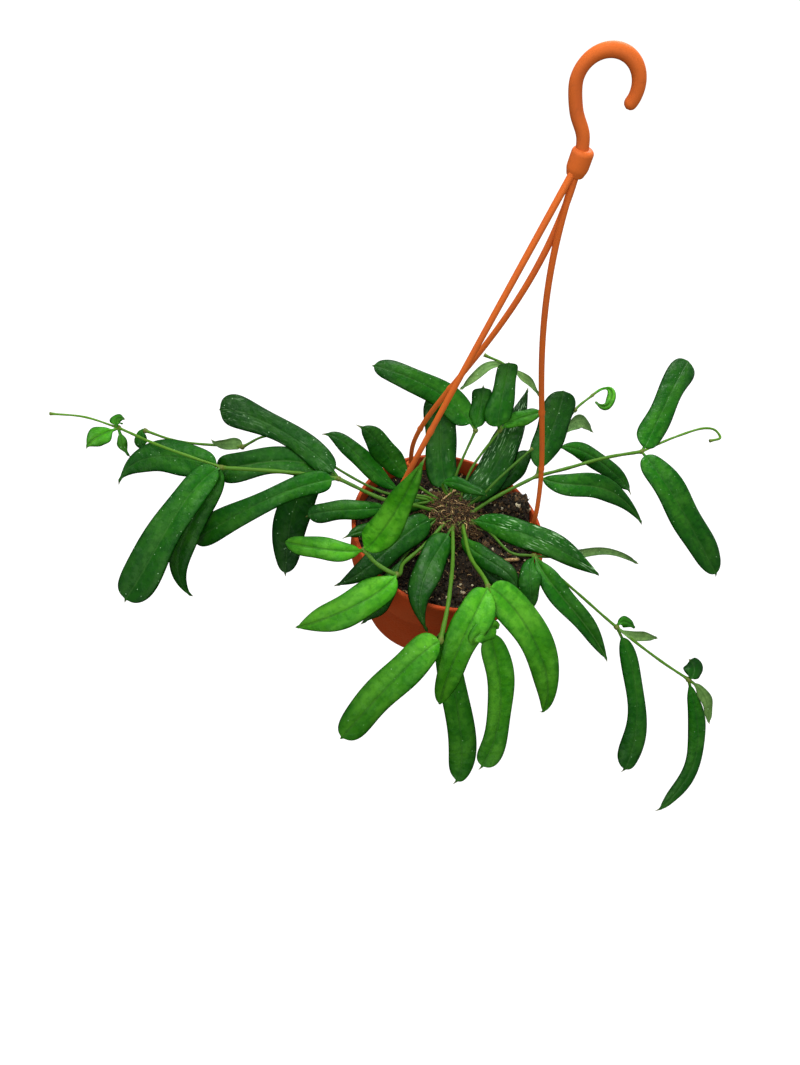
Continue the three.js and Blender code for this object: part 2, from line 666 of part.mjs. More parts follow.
function perlite([x, y, radius]) {
  const geometry = new THREE.IcosahedronGeometry(radius, 0);
  geometry.translate(x, y, mixHeight(x, y));
  return toSolid(geometry);
}

function straw([from, to, radius]) {
  return tube([from, to].map(([x, y]) => [x, y, mixHeight(x, y) + 0.2]), radius, 5, 2);
}

function plugBody(grow) {
  const crown = [
    [PLUG_RADIUS, PLUG_TOP - 4],
    [15, PLUG_TOP],
    [10.5, PLUG_TOP + 0.5],
    [8, PLUG_CROWN - 2],
    [4, PLUG_CROWN],
    [0, PLUG_CROWN],
  ];
  const geometry = turned([
    [0, PLUG_FOOT - grow],
    [PLUG_FOOT_RADIUS + grow, PLUG_FOOT - grow],
    [PLUG_RADIUS + grow, MIX_LEVEL - 4],
    ...(grow > 0 ? [[PLUG_RADIUS + grow, 12], [0, 12]] : crown),
  ], 18);
  if (grow === 0) {
    const place = geometry.attributes.position;
    for (let i = 0; i < place.count; i += 1) {
      const [x, y] = [place.getX(i), place.getY(i)];
      if (place.getZ(i) >= PLUG_TOP - 0.01) place.setZ(i, place.getZ(i) + crumbs(1.4 * x, 1.4 * y));
    }
  }
  geometry.translate(...PLUG_CENTRE);
  return toSolid(geometry);
}

// Finishes

function finish(name, color, roughness) {
  return new THREE.MeshStandardMaterial({ name, color, roughness, metalness: 0 });
}

const POT_PLASTIC = finish('pot plastic', 0x9a4526, 0.55);
const HANGER_PLASTIC = finish('hanger plastic', 0xc2683a, 0.5);
const POTTING_MIX = finish('potting mix', 0x2a2016, 1);
const MOSS = finish('moss plug', 0x4a3f24, 1);
const OLD_LEAF = finish('old leaf', 0x1f5a1c, 0.35);
const YOUNG_LEAF = finish('young leaf', 0x3a8a1d, 0.35);
const GREEN_STEM = finish('green stem', 0x5c7f33, 0.5);

const plantGroup = new THREE.Group();
plantGroup.position.z = -HOOK_SEAT_HEIGHT;

function place(name, solid, material) {
  const mesh = new THREE.Mesh(toGeometry(solid), material);
  mesh.name = name;
  plantGroup.add(mesh);
}

place('pot', potSolid(), POT_PLASTIC);
place('hanger', hangerSolid(), HANGER_PLASTIC);
place('vine_left_long', vineLeftLong(), OLD_LEAF);
place('vine_left_back', vineLeftBack(), GREEN_STEM);
place('vine_right_long', vineRightLong(), OLD_LEAF);
place('vine_right_front', vineRightFront(), OLD_LEAF);
place('stem_front_left', stemFrontLeft(), YOUNG_LEAF);
place('stem_front', stemFront(), YOUNG_LEAF);
place('stem_front_right', stemFrontRight(), YOUNG_LEAF);
place('stem_back_left', stemBackLeft(), OLD_LEAF);
place('stem_back', stemBack(), OLD_LEAF);
place('stem_cut_back', cutStem(), GREEN_STEM);
place('crown_leaves_left', crownLeft(), OLD_LEAF);
place('crown_leaves_front', crownFront(), OLD_LEAF);
place('potting_mix', mixSolid(), POTTING_MIX);
place('moss_plug', cut(plugBody(0), rootHoles), MOSS);

const pottedHoya = new THREE.Group();
pottedHoya.add(plantGroup);

export default pottedHoya;
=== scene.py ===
"""Potted hoya in a hanging pot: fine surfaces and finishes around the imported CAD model.

Places are in millimetres from the centre of the pot's rim, as in the part's source, and to_row turns
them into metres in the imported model's frame, whose origin is the seat of the hanger's hook.
"""

from math import cos, pi, radians, sin, sqrt, tau

import bpy
import numpy as np
from mathutils import Matrix, Vector


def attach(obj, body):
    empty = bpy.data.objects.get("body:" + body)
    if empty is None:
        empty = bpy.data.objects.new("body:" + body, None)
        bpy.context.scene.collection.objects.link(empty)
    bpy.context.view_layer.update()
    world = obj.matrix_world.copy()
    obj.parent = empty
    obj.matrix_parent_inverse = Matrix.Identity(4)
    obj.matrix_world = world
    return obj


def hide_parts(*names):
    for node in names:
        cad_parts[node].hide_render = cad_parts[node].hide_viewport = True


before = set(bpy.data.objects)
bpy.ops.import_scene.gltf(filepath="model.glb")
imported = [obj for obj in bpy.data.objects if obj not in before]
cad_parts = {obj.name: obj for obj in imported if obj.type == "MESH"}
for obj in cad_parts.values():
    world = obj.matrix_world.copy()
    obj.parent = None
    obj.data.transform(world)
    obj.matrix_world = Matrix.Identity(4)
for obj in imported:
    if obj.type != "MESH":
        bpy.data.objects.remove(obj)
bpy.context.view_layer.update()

MM = 0.001
HOOK_SEAT_HEIGHT = 257.0

# Camera of the photograph, fitted to the rim: turned by 15 degrees, with a focal length of 700 pixels in a
# picture 1065 pixels tall, which is 23.7 mm on this sensor. Offsets are the rim's centre from the axis.
SENSOR_WIDTH = 36
CAMERA_LENS = 700 / 1065 * SENSOR_WIDTH
CAMERA_ELEVATION = radians(52)
CAMERA_ROLL = radians(-15)
CAMERA_DISTANCE = 434.0
RIM_OFFSET_RIGHT = 30.6
RIM_OFFSET_DOWN = -3.9
FLOOR_HEIGHT = -210.0

# Pot and hanger, with sizes from the source. Here the arms are a little thinner and have rings, and the
# ears have rounded ends.
POT_HEIGHT = 90
RIM_RADIUS = 60
LIP_RADIUS = 60.7
WALL = 1.8
COLLAR_HEIGHT = 28
COLLAR_FOOT_RADIUS = 58.6
SHOULDER_RADIUS = 55
BASE_RADIUS = 41
DRAIN_HOLES = 8
DRAIN_CIRCLE = 31
DRAIN_RADIUS = 3.5
FOOT_RADIUS = 55
ARM_RADIUS = 1.42
ARMS_FREE_HEIGHT = 4
ARMS_JOIN_HEIGHT = 225
ARM_RING_SHARES = (0.21, 0.42)
ARM_RING_RISE = 0.4
ARM_RING_HALF_LENGTH = 1.5
HOOK_RADIUS = 10.4
HOOK_WIRE_RADIUS = 2.4
HOOK_CENTRE_HEIGHT = 249
EAR_TOP = -1.5
EAR_THICKNESS = 2.5
EAR_WIDTH = 7
EAR_ROUNDING = 3.5
KNOB_RADIUS = 2.4
CLEARANCE = 0.3
ARMS = [
    {"azimuth": 20, "bow": (-5, -3), "sway": (9, 14)},
    {"azimuth": 128, "bow": (-1, -16), "sway": (-14, 1)},
    {"azimuth": 218, "bow": (-2, -7), "sway": (1, 8)},
]

# Potting mix and moss plug, with sizes from the source, and reaches and seeds for what is strewn on them
MIX_LEVEL = -12
MIX_FLOOR = -87.5
HEAP_CENTRE = (41, 32)
HEAP_HEIGHT = 19
HEAP_SPREAD = 140
CRUMBS_REACH = 55.5
STRAWS_REACH = 54
MIX_SEED = 11
PLUG_CENTRE = (0, 12)
PLUG_RADIUS = 18
PLUG_FOOT = -45
PLUG_TOP = -3.5
PLUG_CROWN = 1.5
PLUG_SEED = 4

# Leaves and stems, with sizes from the source. The knots are a little smaller here.
STEM_RADIUS = 1.15
TWIG_RADIUS = 0.85
ROOT_DEPTH = -26
SKYWARD = (0, -0.6, 0.8)
TURNED_UNDER = (0, 0.5, -0.7)
KNOT_RADIUS = 1.7
BLADE_HALF_THICKNESS = 0.4
STALK_HALF_THICKNESS = 0.9

# How a blade is shaped: heights of its forms, and the size of its cells
MARGIN_WAVE = 0.9
SWELLING = 2.4
ARCH_DROP = 1.6
CHANNEL_DEPTH = 0.35
CHANNEL_REACH = 0.9
ACROSS_CELLS = 16
ROW_LENGTH = 1.15
STALK_ROW_LENGTH = 1.5
POINT_ROWS = 7

# A closed end is a ring this small. The seed steps keep the patches of a piece apart in their noise.
POLE_RADIUS = 0.02
LEAF_SEED_STEP = 37
TUBE_SEED_STEP = 41

MARKS = ("flat", "blade", "habit")
UPPER, UNDER, STEM = 0, 1, 2


def to_row(points):
    """Millimetres from the rim's centre to metres from the hook's seat."""
    return (np.asarray(points, float) - (0, 0, HOOK_SEAT_HEIGHT)) * MM


def unit(vectors):
    """The vectors, each divided by its length."""
    return vectors / np.linalg.norm(vectors, axis=-1, keepdims=True)


def smooth(value, low, high):
    """0 below low, 1 above high, with a smooth step 3s^2 - 2s^3 between."""
    s = np.clip((value - low) / (high - low), 0, 1)
    return s * s * (3 - 2 * s)


def travelled_along(path):
    """How far along the path each of its points lies."""
    return np.concatenate([[0], np.cumsum(np.linalg.norm(np.diff(path, axis=0), axis=1))])


def turns(count):
    """Even angles of one full turn."""
    return np.linspace(0, tau, count, endpoint=False)


def towards(angle):
    """The level unit vector at the angle."""
    return np.array([cos(angle), sin(angle)])


def ball(polar, angle):
    """Rings of a unit ball, from the angle off its lower pole and the angle round."""
    return np.stack([np.sin(polar) * np.cos(angle), np.sin(polar) * np.sin(angle),
                     -np.cos(polar) + 0 * angle], -1)


class Surface:
    """Patches of one piece. Each point carries three triples that the materials read: flat (mm along,
    mm across, seed), blade (share along, share across, closeness to a node) and habit (age, mottle, pale)."""

    def __init__(self):
        self.points, self.faces, self.finishes = [], [], []
        self.marks = {name: [] for name in MARKS}
        self.count = 0
        self.patches = 0

    def add_rings(self, rings, finish, flat=0, blade=0, habit=0):
        """Closed rings of points, one behind the other, joined by quads and closed by a face at each end.
        Going round a ring and then along the rings turns a face outwards."""
        steps, around = rings.shape[:2]
        index = self.count + np.arange(steps * around).reshape(steps, around)
        beside = np.roll(index, -1, axis=1)
        quads = np.stack([index[:-1], beside[:-1], beside[1:], index[1:]], -1).reshape(-1, 4)
        self.faces += quads.tolist()
        self.faces += [index[0, ::-1].tolist(), index[-1].tolist()]
        finish = np.broadcast_to(finish, (steps - 1, around))
        self.finishes += finish.ravel().tolist() + [int(finish[0, 0]), int(finish[-1, 0])]
        self.points.append(rings.reshape(-1, 3))
        nothing = np.zeros((steps, around, 3))
        for name, value in zip(MARKS, (flat, blade, habit)):
            self.marks[name].append((nothing + value).reshape(-1, 3))
        self.count += steps * around
        self.patches += 1

    def piece(self, name, materials):
        """The patches as one object at the origin, smoothly shaded."""
        mesh = bpy.data.meshes.new(name)
        mesh.from_pydata(to_row(np.concatenate(self.points)).tolist(), [], self.faces)
        mesh.polygons.foreach_set("material_index", self.finishes)
        for label, values in self.marks.items():
            mark = mesh.attributes.new(label, "FLOAT_VECTOR", "POINT")
            mark.data.foreach_set("vector", np.concatenate(values).ravel())
        for material in materials:
            mesh.materials.append(material)
        mesh.shade_smooth()
        mesh.update()
        made = bpy.data.objects.new(name, mesh)
        bpy.context.scene.collection.objects.link(made)
        return made


def ring_frames(path):
    """Two unit vectors square to the path at each point. Both turn about the path's flattest direction,
    which is the last singular vector of its points."""
    along = unit(np.gradient(path, axis=0))
    flattest = np.linalg.svd(path - path.mean(0))[2][-1]
    first = unit(np.cross(along, flattest))
    return first, np.cross(along, first)


def through(points, per_span):
    """Centripetal Catmull-Rom curve through the points: on each span a cubic that leaves and arrives with
    the slopes that the neighbours give, with spans timed by the square root of their length."""
    p = np.asarray(points, float)
    p = np.vstack([2 * p[0] - p[1], p, 2 * p[-1] - p[-2]])
    gaps = np.sqrt(np.linalg.norm(np.diff(p, axis=0), axis=1))[:, None]
    p0, p1, p2, p3 = p[:-3], p[1:-2], p[2:-1], p[3:]
    g0, g1, g2 = gaps[:-2], gaps[1:-1], gaps[2:]
    leave = ((p1 - p0) / g0 - (p2 - p0) / (g0 + g1) + (p2 - p1) / g1) * g1
    arrive = ((p2 - p1) / g1 - (p3 - p1) / (g1 + g2) + (p3 - p2) / g2) * g1
    s = np.linspace(0, 1, per_span, endpoint=False)[None, :, None]
    p1, p2, leave, arrive = (a[:, None] for a in (p1, p2, leave, arrive))
    curve = (p1 + leave * s + (3 * (p2 - p1) - 2 * leave - arrive) * s**2
             + (2 * (p1 - p2) + leave + arrive) * s**3)
    return np.vstack([curve.reshape(-1, 3), p[-2]])


def add_tube(surface, path, radius, finish, around=12, habit=0, node_share=0):
    """Rings of the given radius, one value or one for each point, square to the path."""
    first, second = ring_frames(path)
    radius = np.broadcast_to(radius, len(path))[:, None, None]
    angle = turns(around)[None, :, None]
    rings = path[:, None] + radius * (np.cos(angle) * first[:, None] + np.sin(angle) * second[:, None])
    travelled = travelled_along(path)
    ones = np.ones((len(path), around))
    flat = np.stack([travelled[:, None] * ones, angle[..., 0] * radius[..., 0],
                     ones * TUBE_SEED_STEP * surface.patches], -1)
    share = travelled / travelled[-1]
    blade = np.stack([share[:, None] * ones, angle[..., 0] / pi * ones,
                      np.broadcast_to(node_share, len(path))[:, None] * ones], -1)
    surface.add_rings(rings, finish, flat, blade, habit)


def add_lathe(surface, profile, centre, segments):
    """The profile of radius and height turned about an upright axis through the centre."""
    radius, height = np.asarray(profile, float).T[..., None]
    radius = np.maximum(radius, POLE_RADIUS)
    angle = turns(segments)
    x = centre[0] + radius * np.cos(angle)
    y = centre[1] + radius * np.sin(angle)
    surface.add_rings(np.stack([x, y, height + 0 * x], -1), 0)


def rounded(profile, radius):
    """The profile with each corner replaced by a short curve that starts and ends a radius from it."""
    p = np.asarray(profile, float)
    before, after = p[:-2] - p[1:-1], p[2:] - p[1:-1]
    shorter = np.minimum(np.linalg.norm(before, axis=1), np.linalg.norm(after, axis=1))
    reach = np.minimum(radius, 0.45 * shorter)
    start = p[1:-1] + unit(before) * reach[:, None]
    end = p[1:-1] + unit(after) * reach[:, None]
    s = np.linspace(0, 1, 5)[None, :, None]
    bends = (1 - s) ** 2 * start[:, None] + 2 * s * (1 - s) * p[1:-1, None] + s**2 * end[:, None]
    return np.vstack([p[:1], bends.reshape(-1, 2), p[-1:]])


def lattice_noise(x, y, size, seed):
    """Smooth noise from -1 to 1: random values on a square lattice of the given size, blended between
    the four corners of each cell with smooth steps."""
    cells = 128
    values = np.random.default_rng(seed).uniform(-1, 1, (cells, cells))
    gx, gy = x / size, y / size
    ix, iy = np.floor(gx).astype(int), np.floor(gy).astype(int)
    fx, fy = smooth(gx - ix, 0, 1), smooth(gy - iy, 0, 1)
    corner = [[values[(ix + i) % cells, (iy + j) % cells] for j in (0, 1)] for i in (0, 1)]
    return ((corner[0][0] * (1 - fx) + corner[1][0] * fx) * (1 - fy)
            + (corner[0][1] * (1 - fx) + corner[1][1] * fx) * fy)


# Leaves

def cubic_rib(rib, u):
    """The cubic through four points at u = 0, 1/3, 2/3 and 1, by Lagrange's weights."""
    knots = np.array([0, 1 / 3, 2 / 3, 1])
    weights = [np.prod([(u - knots[j]) / (knots[i] - knots[j]) for j in range(4) if j != i], axis=0)
               for i in range(4)]
    return np.stack(weights, -1) @ np.asarray(rib, float)


def blade_half_width(widths, k, side, phase, heel, tip):
    """Half the quadratic through the widths at 20, 50 and 80 % of the blade, by Lagrange's weights, times a
    cap, which is sqrt(1 - |2k - 1|^power) with one power at the heel and one at the tip, times a ripple of
    the margin, 8 % deep, with 1.7 waves along the blade that differ from side to side."""
    near, middle, far = widths
    width = (near * (k - 0.5) * (k - 0.8) / 0.18 - middle * (k - 0.2) * (k - 0.8) / 0.09
             + far * (k - 0.2) * (k - 0.5) / 0.18)
    cap = np.sqrt(np.maximum(1 - np.abs(2 * k - 1) ** np.where(k < 0.5, heel, tip), 0))
    ripple = 1 + 0.08 * np.sin(tau * 1.7 * k + phase + 1.9 * side)
    return np.maximum(0.5 * width * cap * ripple, STALK_HALF_THICKNESS)


def add_leaf(surface, rib, widths, face=SKYWARD, fold=0, stalk=5, phase=0, mucro=4, heel=3.6, tip=5,
             age=0.5, mottle=0.3, pale=0.3):
    """A leaf as rings of points, from the stalk's foot along the blade to the hooked tip. The ring runs
    back across the underside and forth across the upper side. Across the blade the surface is the half
    width times the share across, lifted by the fold and by a wave of the margin. A creased leaf, young or
    with a pale rib, is hollowed along the midrib and swollen on both sides of it, and any other is arched
    over with its margins down. The thickness falls to nothing at the margin. Rows lie closer at both ends
    of the blade. The tip runs on as a thin point of the given length, mucro, that bends down.

    Widths, stalk and mucro are in mm and the fold in degrees. Phase shifts the waves, heel and tip are the
    powers of the cap, and age, mottle and pale, from 0 to 1, tell the skin how dark the green is, how much
    silver lies on it and how pale its rib is."""
    rib = np.asarray(rib, float)
    length = np.linalg.norm(np.diff(rib, axis=0), axis=1).sum()
    stalk_share = stalk / length
    rows = max(16, int(length / ROW_LENGTH))
    even = np.linspace(0, 1, rows)
    k = 0.6 * even + 0.4 * (1 - np.cos(pi * even)) / 2
    stalk_rows = max(3, int(stalk / STALK_ROW_LENGTH))
    point = np.linspace(0, 1, POINT_ROWS)[1:]
    u = np.concatenate([np.linspace(0, stalk_share, stalk_rows, endpoint=False),
                        stalk_share + k * (1 - stalk_share), np.ones(len(point))])
    past = np.concatenate([np.zeros(stalk_rows + rows), point])
    k = np.concatenate([np.zeros(stalk_rows), k, np.ones(len(point))])

    centre = cubic_rib(rib, u)
    along = unit(cubic_rib(rib, u + 0.01) - cubic_rib(rib, u - 0.01))
    up = np.asarray(face, float) / np.linalg.norm(face)
    out = unit(up - (along @ up)[:, None] * along)
    centre = centre + mucro * (0.8 * past[:, None] * along - 0.6 * past[:, None] ** 1.4 * out)
    sideways = np.cross(along, out)

    turn = np.linspace(1, -1, ACROSS_CELLS + 1)[:-1]
    v = np.concatenate([turn, -turn])[None]
    face_side = np.concatenate([-np.ones(ACROSS_CELLS), np.ones(ACROSS_CELLS)])[None]
    k, past = k[:, None], past[:, None]
    side = np.sign(v)
    half = blade_half_width(widths, k, side, phase, heel, tip) * (1 - 0.85 * past**0.7)
    lift = MARGIN_WAVE * 4 * np.minimum(np.minimum(k, 1 - k), 0.25)
    in_blade = smooth(k, 0, 0.12) * (1 - smooth(k, 0.9, 1))
    crease = max(0.3, pale - 0.1, 1 - 1.6 * age)
    rise = (half * np.abs(v) * sin(radians(fold))
            + lift * np.abs(v) ** 1.5 * np.sin(tau * 1.3 * k + phase + side)
            + crease * in_blade * SWELLING * np.abs(v) * (1 - np.abs(v))
            - (1 - crease) * in_blade * ARCH_DROP * np.abs(v) ** 2.5
            - crease * in_blade * CHANNEL_DEPTH * np.exp(-((v * half / CHANNEL_REACH) ** 2)))
    flattening = smooth(k, 0, 0.1)
    thickness = STALK_HALF_THICKNESS + (BLADE_HALF_THICKNESS - STALK_HALF_THICKNESS) * flattening
    thickness = thickness * (1 - 0.7 * past)
    roundness = 2 + 2 * flattening
    skin = face_side * thickness * np.sqrt(np.maximum(1 - np.abs(v) ** roundness, 0))
    rings = (centre[:, None] + (v * half * cos(radians(fold)))[..., None] * sideways[:, None]
             + (rise + skin)[..., None] * out[:, None])

    ones = np.ones_like(half)
    seed = LEAF_SEED_STEP * surface.patches
    flat = np.stack([(u[:, None] * length - stalk) * ones, v * half, seed * ones], -1)
    before = -0.1 * (1 - np.minimum(u[:, None] / stalk_share, 1))
    blade = np.stack([(k + before + 0.1 * past) * ones, v * ones, 0 * ones], -1)
    finish = np.where(face_side > 0, UPPER, UNDER) * np.ones((len(u) - 1, 1), int)
    finish[: stalk_rows - 1] = STEM
    surface.add_rings(rings, finish, flat, blade, (age, mottle, pale))


# Stems

def add_stem(surface, points, radius, age):
    """A tube through the points, uneven by 7 % in waves of about 20 mm and by 4 % in waves of 7 mm, and
    swollen by 0.45 mm at both of its ends, which fades within about 2 mm."""
    path = through(points, 12)
    travelled = travelled_along(path)
    to_end = np.minimum(travelled, travelled[-1] - travelled)
    swelling = np.exp(-((to_end / 1.8) ** 2))
    uneven = 1 + 0.07 * np.sin(travelled / 3.1 + radius) + 0.04 * np.sin(travelled / 1.1)
    add_tube(surface, path, radius * uneven + 0.45 * swelling, STEM, 12, (age, 0, 0), np.exp(-to_end / 4))


def add_root(surface, place):
    """The straight foot of a stem, down in its hole in the plug."""
    x, y = place[:2]
    heights = np.linspace(ROOT_DEPTH, 0.3, 8)
    path = np.stack([x + 0 * heights, y + 0 * heights, heights], -1)
    add_tube(surface, path, STEM_RADIUS, STEM, 10, (0.9, 0, 0), 0.3)


def add_knot(surface, place):
    """A lumpy ball, whose radius swells and sinks by 10 % with two crossed sines."""
    polar = np.linspace(0.02, pi - 0.02, 12)[:, None]
    angle = turns(16)[None]
    lumpy = KNOT_RADIUS * (1 + 0.1 * np.sin(3 * angle + place[0]) * np.sin(4 * polar + place[1]))
    rings = lumpy[..., None] * ball(polar, angle)
    surface.add_rings(rings + np.asarray(place, float), STEM, rings, 1, (0.7, 0, 0))


def grow(name, root, stems=(), knots=(), leaves=()):
    """One plant piece in place of the CAD node of that name."""
    surface = Surface()
    add_root(surface, root)
    for points, radius, age in stems:
        add_stem(surface, points, radius, age)
    for place in knots:
        add_knot(surface, place)
    for rib, widths, look in leaves:
        add_leaf(surface, rib, widths, **look)
    made = surface.piece(name + "_live", [LEAF_UPPER, LEAF_UNDER, GREEN_STEM])
    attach(made, "root")
    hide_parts(name)


def plant():
    """Every stem and leaf. A stem is given by its points, radius and age. A leaf is given by four points of
    its midrib, from the stalk's foot to the tip, its widths at 20, 50 and 80 % of the blade, and its look."""
    root, fork, far, young = (-11.5, 9, 0), (-73, 2, 14), (-142, -10, 10), (-215, 6, 2)
    grow("vine_left_long", root, [
        ([root, (-25, 3, 7), (-42, -3, 12), fork], STEM_RADIUS, 0.7),
        ([fork, (-101, -3, 14), far], STEM_RADIUS, 0.5),
        ([far, (-179, -9.5, 14), young], TWIG_RADIUS, 0.3),
        ([young, (-239, 9, 0), (-260, 6, -2)], TWIG_RADIUS * 0.8, 0.0),
    ], [fork, far, young], [
        ([fork, (-100, 8.5, 12), (-124.5, 2, 8), (-147, -5.5, 0)], (18, 17, 19),
         dict(fold=10, stalk=6, phase=1, age=0.55, mottle=0.2, pale=1, tip=6)),
        ([fork, (-97, 13, 22), (-129, 21, 26), (-154.5, 22.5, 24)], (17, 15, 21),
         dict(phase=2.5, mucro=1, age=0.85, mottle=0.45, heel=3.4, tip=4, stalk=7)),
        ([fork, (-98, -15, 12), (-123, -30, -2), (-150.5, -39, -30)], (14, 13, 18),
         dict(fold=6, phase=4, age=0.6, mottle=0.2, heel=7)),
        ([fork, (-93, 1, 0), (-98, -10, -30), (-95, -27, -58)], (20, 22, 24),
         dict(phase=5, age=0.95, tip=2.2)),
        ([far, (-165, -8, 7), (-187.5, -12, 3), (-201.5, -25, -9)], (19, 20, 12),
         dict(stalk=4, phase=0.5, age=0.6, mottle=0.25, heel=7)),
        ([far, (-154, -34, 4), (-163, -61, -14), (-173.5, -86.5, -37)], (19, 20, 25),
         dict(fold=12, stalk=4, age=0.6, mottle=0.25, pale=0.4, heel=5, tip=4.5)),
        ([far, (-147, -27.5, -4), (-154, -51, -26), (-144.5, -64.5, -52)], (14, 16, 11),
         dict(stalk=4, phase=3, age=0.65, mottle=0.2)),
        ([young, (-218, 0, 3), (-222, -6, 3), (-226, -13, 0)], (8, 13, 10),
         dict(stalk=4, mucro=2, age=0.1, mottle=0)),
        ([young, (-216, 6, 5), (-216, 8, 7), (-212, 9, 8)], (6, 8, 6),
         dict(stalk=2, mucro=1, age=0.3, mottle=0)),
        ([young, (-211, 0, 0), (-209, -3, -3), (-205, -5, -8)], (5, 7, 4), dict(stalk=2, mucro=2, age=0.4)),
    ])

    root, node, tip = (-12, 14, 0), (-138, 14.5, 5), (-200, 11, 0)
    grow("vine_left_back", root, [
        ([root, (-17, 13, 6), (-27, 10, 8), (-43, 5, 9), (-80.5, 19, 5), (-100.5, 27.5, 7),
          (-125.5, 26.5, 8), node], TWIG_RADIUS, 0.7),
        ([node, (-177, 8, 2), tip], TWIG_RADIUS, 0.4),
    ], [node, tip], [
        ([node, (-142, 14.5, 6), (-149, 11.5, 6), (-156, 12.5, 5)], (8, 7, 4),
         dict(face=TURNED_UNDER, stalk=2, mucro=2, age=0.4)),
        ([tip, (-202, 9, 0), (-201, 5, -3), (-198, 3, -6)], (5, 8, 8), dict(stalk=2, mucro=1)),
    ])

    root, fork, far, shoot = (11.5, 15, 0), (47, 46, 16), (117, 95, 16), (63, 97, 34)
    grow("vine_right_long", root, [
        ([root, (23, 24, 9), (35, 35, 13), fork], STEM_RADIUS, 0.7),
        ([fork, (63, 56, 18), (92, 78, 18), far], STEM_RADIUS, 0.5),
        ([far, (141, 117, 18), (164, 135, 18), (173, 138, 16), (177, 134, 14), (170, 130, 12)],
         TWIG_RADIUS, 0.1),
        ([fork, (53, 66, 22), shoot, (73, 111, 39)], TWIG_RADIUS, 0.4),
    ], [fork, far, shoot], [
        ([fork, (47, 60, 28), (49, 75, 40), (49, 90, 52)], (18, 20, 20),
         dict(stalk=6, phase=2, age=0.85, tip=8, mucro=0.5)),
        ([fork, (70, 43, 20), (95, 52, 14), (125, 50, -4)], (15, 16, 12),
         dict(fold=8, phase=4.2, age=0.6, pale=0.8, tip=2.6)),
        ([(53, 66, 22), (71, 73.5, 22), (97.5, 84.5, 4), (117.5, 78.5, -6)], (10, 13, 11),
         dict(stalk=10, phase=1, mottle=0.2)),
        ([(54, 70, 25), (62, 83, 31), (68, 89, 32), (77, 88, 28)], (6, 9, 7),
         dict(face=TURNED_UNDER, mucro=2)),
        ([(73, 111, 39), (84, 118, 41), (85, 108, 38), (76, 107, 37)], (3, 6, 5),
         dict(stalk=2, mucro=1, age=0.1, mottle=0)),
        ([far, (123, 115, 26), (129, 138, 38), (138.5, 167, 46)], (20, 17, 19),
         dict(phase=2, mucro=1, mottle=0.2, tip=8)),
        ([far, (139, 76, 8), (163, 65, -10), (194, 51, -36)], (21, 21, 26),
         dict(fold=10, stalk=4, pale=0.4, heel=4.5, tip=2.2, mucro=5)),
    ])

    root, fork, node, far = (12, 9.5, 0), (53, -11, 7), (112, -34, -10), (162, -49, -22)
    grow("vine_right_front", root, [
        ([root, (25, 3, 1), (40, -11, 4), fork], TWIG_RADIUS, 0.7),
        ([fork, (83, -24, 0), node, (143, -44, -18), far], TWIG_RADIUS, 0.5),
    ], [fork, node, far], [
        ([root, (37, 2, 10), (63, -6, 14), (93, -11, 6)], (15, 17, 13),
         dict(stalk=4, phase=2.4, mottle=1, tip=3, heel=7)),
        ([fork, (77, 0, 4), (98, 11, 2), (122, 15, -5)], (6, 5, 4),
         dict(face=TURNED_UNDER, stalk=10, mucro=2)),
        ([fork, (68, -30, 6), (88, -40, -4), (109, -52, -18)], (14, 14, 10),
         dict(fold=18, stalk=4, phase=2, pale=0.9)),
        ([fork, (50.5, -28.5, 12), (53.5, -37.5, 7), (56.5, -44.5, -2)], (12, 13, 9),
         dict(stalk=3, mucro=2, age=0.6)),
        ([node, (133, -49, -34), (146, -68, -60), (148, -88, -82)], (12, 12, 15),
         dict(stalk=8, phase=3, age=0.6, mottle=0.2)),
        ([node, (114, -31, -8), (118, -30, -8), (123, -31, -10)], (5, 7, 5), dict(stalk=2, mucro=1, age=0.4)),
        ([node, (121, -36, -11), (130, -34, -12), (138, -32, -13)], (5, 6, 4),
         dict(face=TURNED_UNDER, stalk=3, mucro=1, age=0.4)),
        ([far, (163, -47, -19), (163, -43, -17), (160, -40, -15)], (11, 12, 11),
         dict(stalk=2, mucro=1, age=0.9)),
        ([far, (179, -61, -46), (188, -77, -70), (176, -103, -92)], (10, 11, 10),
         dict(phase=1, age=0.6, mottle=0.2)),
        ([far, (172, -50, -28), (179, -54, -34), (183, -63, -40)], (6, 7, 6),
         dict(face=TURNED_UNDER, mucro=2, age=0.3)),
    ])

    root, node, tip = (-3.5, 1, 0), (-24.5, -62, 24), (-45, -54, 27)
    grow("stem_front_left", root, [
        ([root, (-12, -20, 2), (-22, -42, 8), node, (-36, -60, 26), tip], STEM_RADIUS, 0.6),
    ], [node, tip], [
        ([tip, (-58, -61, 30), (-74, -62, 28), (-87, -59, 22)], (11, 12, 10),
         dict(stalk=3, phase=1, age=0.15, mottle=0)),
        ([tip, (-38, -54, 46), (-32, -51, 70), (-27, -44, 93)], (18, 16, 11),
         dict(stalk=3, phase=2, age=0.1, mottle=0, tip=2.4)),
        ([node, (-34, -79, 24), (-51, -90.5, 14), (-68, -96, 2)], (17, 18, 13),
         dict(stalk=3, phase=3, age=0.1, mottle=0, tip=3)),
    ])

